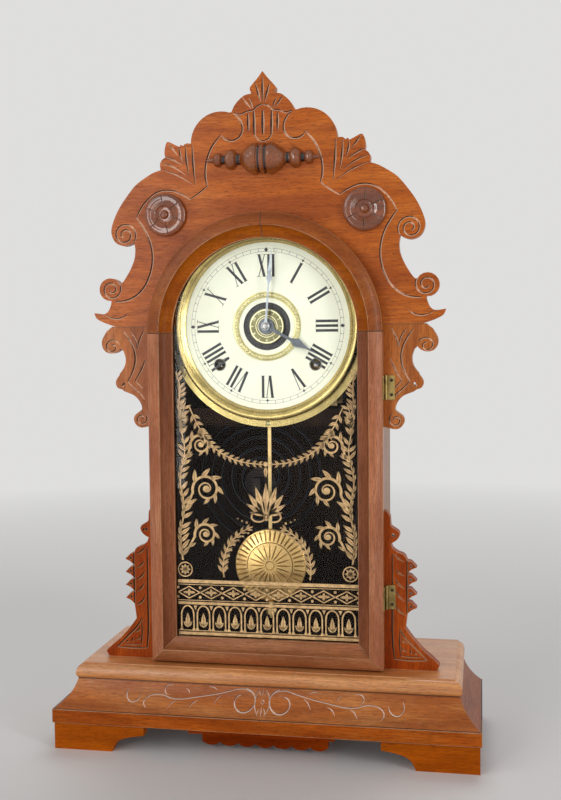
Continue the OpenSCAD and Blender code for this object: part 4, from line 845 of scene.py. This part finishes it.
# ---------------------------------------------------------------- Door
# Moulded walnut frame: two stiles, a rail mitred between them and a turned arch in two halves, hung on two
# small brass hinges. The hollow round the glass has finishes of its own, darker on the stiles from dirt and
# painted shade and a deeper orange in the arch, and the ridge is rubbed pale with a painted highlight.

door_walnut = walnut("door_walnut", "z", (0.56, 0.19, 0.078), (0.31, 0.09, 0.035), (0.83, 0.39, 0.21),
                     worn=0.4, seed=21.0, joints=[("z", ARCH_Z, 0.6)])
door_rail_walnut = walnut("door_rail_walnut", "x", (0.46, 0.158, 0.055), (0.25, 0.075, 0.022),
                          (0.69, 0.3, 0.13), worn=0.45, seed=22.0)
door_arch_walnut = walnut("door_arch_walnut", "x", (0.39, 0.095, 0.011), (0.21, 0.042, 0.004),
                          (0.57, 0.185, 0.038), worn=0.3, seed=23.0, joints=[("z", ARCH_Z, 0.6)])
# The stiles' hollow is coloured darker: dirt and painted shade.
cove_walnut = walnut("cove_walnut", "z", (0.335, 0.108, 0.042), (0.172, 0.046, 0.017), (0.48, 0.175, 0.08),
                     worn=0.2, seed=24.0, sheen=0.5)
arch_cove_walnut = walnut("arch_cove_walnut", "x", (0.49, 0.115, 0.003), (0.235, 0.042, 0.001),
                          (0.64, 0.19, 0.008), seed=25.0, sheen=0.4)
RIDGE = 86.4


def in_hollow(face):
    """Whether a face of the door lies between the ridge of its moulding and the glass."""
    x, z = face.center.x * 1000, face.center.z * 1000
    return (math.hypot(x, z - ARCH_Z) if z > ARCH_Z else abs(x)) < RIDGE


for node, wood, hollow in (("door_stiles", door_walnut, cove_walnut),
                           ("door_arches", door_arch_walnut, arch_cove_walnut),
                           ("door_bottom_rail", door_rail_walnut, door_rail_walnut)):
    board = take_board(node, node + "_eased", wood)
    reface(board, hollow, in_hollow)
    ease(board, 0.0004, sharper=35)
    settle(board, node, "door")

old_brass = metal("old_brass", (0.46, 0.33, 0.12), 0.35, stain=(0.10, 0.07, 0.025), stained=0.65)
dress(old_brass, "hinge_fixed_leaves", "hinge_door_leaves")
HINGE_FEET, SCREWS_UP = (118.0, 288.6), (3.9, 15.6)
for name, x, y, squash, body in (("hinge_screws_case", 103.3, -28.0, (1, 0.3, 1), "case"),
                                 ("hinge_screws_door", 97.8, -34.0, (0.3, 1, 1), "door")):
    heads = []
    for z in [foot + up for foot in HINGE_FEET for up in SCREWS_UP]:
        bpy.ops.mesh.primitive_uv_sphere_add(segments=20, ring_count=10, radius=0.0013,
                                             location=(x / 1000, y / 1000, z / 1000))
        bpy.context.object.scale = squash
        heads.append(bpy.context.object)
    gather(heads, name, iron, body, smooth=180)


def give_way(material, amount, other):
    """Lets a finish give way to another shader by an amount."""
    join = material.node_tree.links.new
    both = material.node_tree.nodes.new("ShaderNodeMixShader")
    join(amount, both.inputs["Fac"])
    join(material.node_tree.nodes["Principled BSDF"].outputs["BSDF"], both.inputs[1])
    join(other, both.inputs[2])
    join(both.outputs["Shader"], material.node_tree.nodes["Material Output"].inputs["Surface"])


pane = begin("old_glass")
polish(pane, {"Base Color": (0.97, 0.98, 0.97, 1), "Roughness": 0.0, "IOR": 1.18, "Transmission Weight": 1.0})
add = pane.node_tree.nodes.new
give_way(pane, add("ShaderNodeLightPath").outputs["Is Shadow Ray"],
         add("ShaderNodeBsdfTransparent").outputs["BSDF"])
dress(pane, "door_glass")


# ---------------------------------------------------------------- Gold tablet
# Bronze powder printed on the back of the glass: an arcade and a lozenge rail below, leafy stems with
# whorls up both sides, a wreath round the bob and a fan over it. The design is this model's own.

leaf_gold = mottled("leaf_gold", 350.0, 8.0, (0.36, (0.42, 0.245, 0.10)), (0.60, (0.66, 0.42, 0.19)),
                    {"Roughness": 0.5, "Metallic": 0.15})


def flowing(points, steps=6):
    """A smooth line through the points."""
    ends = [points[0], *points, points[-1]]
    line = []
    for a, b, c, d in zip(ends, ends[1:], ends[2:], ends[3:]):
        for step in range(steps):
            t = step / steps
            line.append(tuple(
                0.5 * (2 * b[i] + (c[i] - a[i]) * t + (2 * a[i] - 5 * b[i] + 4 * c[i] - d[i]) * t * t
                       + (3 * b[i] - a[i] - 3 * c[i] + d[i]) * t ** 3) for i in (0, 1)))
    return line + [points[-1]]


def ribbon(line, *widths):
    """Both long sides of a band along a line, its width running through the given ones."""
    near, far = [], []
    for place, (x, z) in enumerate(line):
        ahead, behind = line[min(place + 1, len(line) - 1)], line[max(place - 1, 0)]
        reach = math.hypot(ahead[0] - behind[0], ahead[1] - behind[1]) or 1
        nx, nz = -(ahead[1] - behind[1]) / reach, (ahead[0] - behind[0]) / reach
        share = place / (len(line) - 1) * (len(widths) - 1)
        low = min(int(share), len(widths) - 2)
        half = (widths[low] + (widths[low + 1] - widths[low]) * (share - low)) / 2
        near.append((x + nx * half, z + nz * half))
        far.append((x - nx * half, z - nz * half))
    return near, far


LEAF_EDGE = ((0.82, 0.20), (0.6, 0.42), (0.4, 0.5), (0.2, 0.38), (0.06, 0.16))


def leaf(x, z, angle, length, width, rib=0.3):
    """A pointed leaf in two halves, parted by its rib."""
    turn = math.radians(angle)
    halves = []
    for side in (-1, 1):
        half = [(0, side * rib / 2), (length * 0.97, side * rib / 2), (length, side * 0.05)]
        half += [(length * u, side * width * v) for u, v in LEAF_EDGE]
        halves.append([(x + u * math.cos(turn) - v * math.sin(turn),
                        z + u * math.sin(turn) + v * math.cos(turn)) for u, v in half])
    return halves


def disc(x, z, radius, sides=10):
    turns = [2 * math.pi * k / sides for k in range(sides)]
    return [(x + radius * math.cos(turn), z + radius * math.sin(turn)) for turn in turns]


def slab(x0, z0, x1, z1):
    return [(x0, z0), (x1, z0), (x1, z1), (x0, z1)]


def both_hands(shapes):
    """The shapes and their mirror images across the middle of the glass."""

    def turned(line):
        return [(-x, z) for x, z in line]

    return shapes + [tuple(map(turned, shape)) if isinstance(shape, tuple) else turned(shape)
                     for shape in shapes]


HALF_RULE = 76
gilding = [slab(-HALF_RULE, low, HALF_RULE, high) for low, high in (
    (90.6, 93.0), (94.0, 94.6), (116.4, 118.6), (119.6, 120.2), (133.0, 133.6), (134.6, 137.4))]
BAY, PLINTH_Z, SHAFT_Z, SPRING_Z = 13.6, 94.6, 96.0, 107.6
for bay in range(-5, 6):
    x = bay * BAY
    gilding += [slab(x - 5.9, SHAFT_Z, x - 4.7, SPRING_Z), slab(x + 4.7, SHAFT_Z, x + 5.9, SPRING_Z),
                slab(x - 6.5, PLINTH_Z, x - 4.1, SHAFT_Z), slab(x + 4.1, PLINTH_Z, x + 6.5, SHAFT_Z)]
    arch = [(x + 5.3 * math.cos(math.radians(a)), SPRING_Z + 7.6 * math.sin(math.radians(a)))
            for a in range(0, 181, 15)]
    gilding.append(ribbon(arch, 1.2, 1.2))
    gilding += leaf(x, 96.4, 90, 13.2, 4.2)
    gilding += leaf(x, 97.0, 128, 6.4, 2.4) + leaf(x, 97.0, 52, 6.4, 2.4)
    if bay < 5:
        gilding.append([(x + BAY / 2 - 1.5, 115.4), (x + BAY / 2, 111.6), (x + BAY / 2 + 1.5, 115.4)])
LOZENGE, RAIL_Z = 19.0, 126.6
for step in range(-4, 4):
    x = (step + 0.5) * LOZENGE
    gilding += [ribbon([(x - 9.2, RAIL_Z), (x, RAIL_Z + tip), (x + 9.2, RAIL_Z)], 1.0, 1.0)
                for tip in (5, -5)]
    for petal in range(4):
        gilding += leaf(x, RAIL_Z, petal * 90, 5.6 if petal % 2 == 0 else 3.4, 2.2, 0.2)
for step in range(-4, 5):
    gilding += [disc(step * LOZENGE, RAIL_Z + 4, 1.2), disc(step * LOZENGE, RAIL_Z - 4, 1.2)]


GLASS_EDGE = 75.6


def leafy(line, leaves, size, lean, first=0.0, last=1.0, outside=(1, -1), thin=0.30):
    """Leaves set along a line, growing smaller towards its end and drawn in at the edge of the glass."""
    grown = []
    for place in range(leaves):
        at = int((first + (last - first) * (place + 1) / (leaves + 1)) * (len(line) - 1))
        (x, z), (x1, z1) = line[at], line[min(at + 1, len(line) - 1)]
        heading = math.degrees(math.atan2(z1 - z, x1 - x))
        long = size * (1.0 - 0.35 * place / leaves)
        for side in outside:
            if x + long * math.cos(math.radians(heading + side * lean)) < GLASS_EDGE:
                grown += leaf(x, z, heading + side * lean, long, long * thin)
            else:
                grown += leaf(x, z, heading + side * lean * 0.35, long * 0.7, long * 0.22)
    return grown


side_work = []
for stem, leaves, size in (
    ([(71.5, 154), (73.2, 175), (69.6, 198), (72.8, 222), (68.6, 246), (71.6, 268), (67.4, 286)], 21, 11.5),
    ([(70.2, 262), (73.0, 282), (71.8, 298), (74.8, 312)], 9, 9.5),
):
    line = flowing(stem, 8)
    side_work += [ribbon(line, 1.5, 1.1, 0.6)] + leafy(line, leaves, size, 46)
for stem, x, z, radius in (
    ([(70.5, 160), (66.0, 165), (62.0, 172)], 51.5, 176.0, 9.6),
    ([(70.5, 196), (66.5, 201), (63.4, 208)], 50.5, 214.0, 12.0),
    ([(71.0, 236), (67.0, 240), (64.6, 247)], 55.0, 251.0, 8.8),
):
    whorl = [spoke(x, z, k * 10.5 - 15, [radius * (1 - 0.80 * k / 60)])[0] for k in range(61)]
    side_work += [ribbon(flowing(stem + [whorl[0]], 6)[:-1] + whorl, 1.2, 2.2, 1.8, 1.2, 0.8),
                  disc(x, z, radius * 0.24, 12)]
    side_work += leafy(whorl, 6, radius * 0.95, 34, 0.0, 0.50, outside=(-1,), thin=0.34)
    side_work += leaf(*stem[1], 150, radius * 0.8, radius * 0.24)
patera = (69.6, 146.0)
side_work += [ribbon(arc(*patera, 6.0, step=15), 0.9, 0.9), disc(*patera, 1.2)]
for petal in range(8):
    side_work += leaf(*patera, petal * 45, 5.0, 2.2, 0.2)
wreath = arc(0, BOB_Z, 37.0, -12, 72, 3)
side_work += [ribbon(wreath, 1.2, 0.8)] + leafy(wreath, 9, 8.4, 32, thin=0.30)
side_work += [disc(x, z, 0.8, 8) for x, z in arc(0, BOB_Z, 33.4, 0, 63, 9)]
for lean, long in ((17, 25.0), (37, 22.0), (58, 18.0), (79, 13.0)):
    side_work += leaf(1.6, 193, 90 - lean, long, long * 0.24)
fan_foot = []
for k in range(31):
    turn, shrunk = math.radians(k * 14), 1 - 0.7 * k / 30
    fan_foot.append((1.5 + 7.6 * shrunk * (1 - math.cos(turn)), 190.5 + 5.6 * shrunk * math.sin(turn)))
swag = flowing([(64.0, 282), (54, 262), (40, 246), (22, 237.5), (2.4, 235)], 8)
side_work += [ribbon(swag, 0.8, 1.1, 0.8)] + leafy(swag, 15, 7.2, 40, 0.04, 1.0, thin=0.34)
side_work += [ribbon(fan_foot, 1.6, 1.4, 0.8), disc(16.4, 186.6, 1.0, 8), disc(20.4, 187.8, 0.8, 8),
              disc(24.0, 189.8, 0.6, 8)]
gilding += both_hands(side_work)
gilding += leaf(0, 193, 90, 27, 6.0) + leaf(0, 233, -90, 9.0, 3.4)
gilding += [disc(0, 190.5, 2.2, 12), disc(0, 235.4, 2.0, 12)]
TABLET_Y = -29.94
tablet = plates("gold_tablet", gilding, TABLET_Y, 0.05, leaf_gold)
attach(tablet, "door")


# ---------------------------------------------------------------- Room, lamps and camera
# A plain pale floor that fades into a pale room, a large window, two tall lamps that draw highlights
# on the turned and rubbed edges, a soft one over the back, and the camera where the photographer stood.

ROOM_GREY = (0.74, 0.735, 0.73)
bpy.ops.mesh.primitive_plane_add(size=12.0, location=(0, 0, 0))
floor = bpy.context.object
floor.name = "studio_floor"
FADE_NEAR, FADE_FAR = 0.55, 1.6
sweep = begin("pale_sweep")
polish(sweep, {"Base Color": (0.88, 0.875, 0.87, 1), "Roughness": 0.6})
away = sweep.node_tree.nodes.new("ShaderNodeEmission")
away.inputs["Color"].default_value = (*ROOM_GREY, 1)
spot = sweep.node_tree.nodes.new("ShaderNodeVectorMath")
spot.operation = "LENGTH"
sweep.node_tree.links.new(on_object(sweep), spot.inputs[0])
give_way(sweep, between(sweep, spot.outputs["Value"], FADE_NEAR, FADE_FAR), away.outputs["Emission"])
floor.data.materials.append(sweep)

room = bpy.context.scene.world or bpy.data.worlds.new("room")
bpy.context.scene.world = room
room.use_nodes = True
sky = room.node_tree.nodes["Background"]
sky.inputs["Color"].default_value = (*ROOM_GREY, 1)
rays = room.node_tree.nodes.new("ShaderNodeLightPath")
seen = rays.outputs["Is Camera Ray"]
for kind in ("Is Glossy Ray", "Is Transmission Ray"):
    seen = sums(room, "MAXIMUM", seen, rays.outputs[kind])
ON_THE_CLOCK, IN_VIEW = 0.35, 1.0
room.node_tree.links.new(between(room, seen, 0.0, 1.0, ON_THE_CLOCK, IN_VIEW), sky.inputs["Strength"])


def lamp(name, place, target, width, height, power, colour=(1, 1, 1)):
    """A soft oblong lamp turned to its target."""
    bpy.ops.object.light_add(type="AREA", location=place)
    made = bpy.context.object
    made.name = name
    made.data.shape = "RECTANGLE"
    made.data.size, made.data.size_y = width, height
    made.data.energy = power
    made.data.color = colour
    made.rotation_euler = (Vector(target) - Vector(place)).to_track_quat("-Z", "Y").to_euler()


lamp("window_lamp", (-1.5, -1.2, 1.35), (0, 0, 0.28), 1.1, 1.1, 7.0, (1.0, 0.985, 0.96))
lamp("tall_lamp", (-0.58, -1.4, 0.45), (0, 0, 0.30), 0.26, 1.1, 4.4)
lamp("fill_lamp", (1.35, -1.0, 0.5), (0, 0, 0.25), 0.20, 1.3, 6.9, (0.97, 0.985, 1.0))
lamp("top_lamp", (0.1, 0.9, 1.5), (0, 0, 0.3), 1.0, 0.8, 6.5)

bpy.ops.object.camera_add()
camera = bpy.context.object
camera.name = "photographer"
camera.matrix_world = (
    Matrix.Translation((0.1736, -0.8936, 0.3415))
    @ Matrix.Rotation(math.radians(10.54), 4, "Z")
    @ Matrix.Rotation(math.radians(90 - 3.47), 4, "X")
    @ Matrix.Rotation(math.radians(-0.54), 4, "Z")
)
camera.data.lens = 48.49
camera.data.sensor_width = 36.0
camera.data.sensor_fit = "AUTO"
camera.data.clip_start = 0.05
bpy.context.scene.camera = camera
bpy.context.scene.view_settings.view_transform = "Standard"
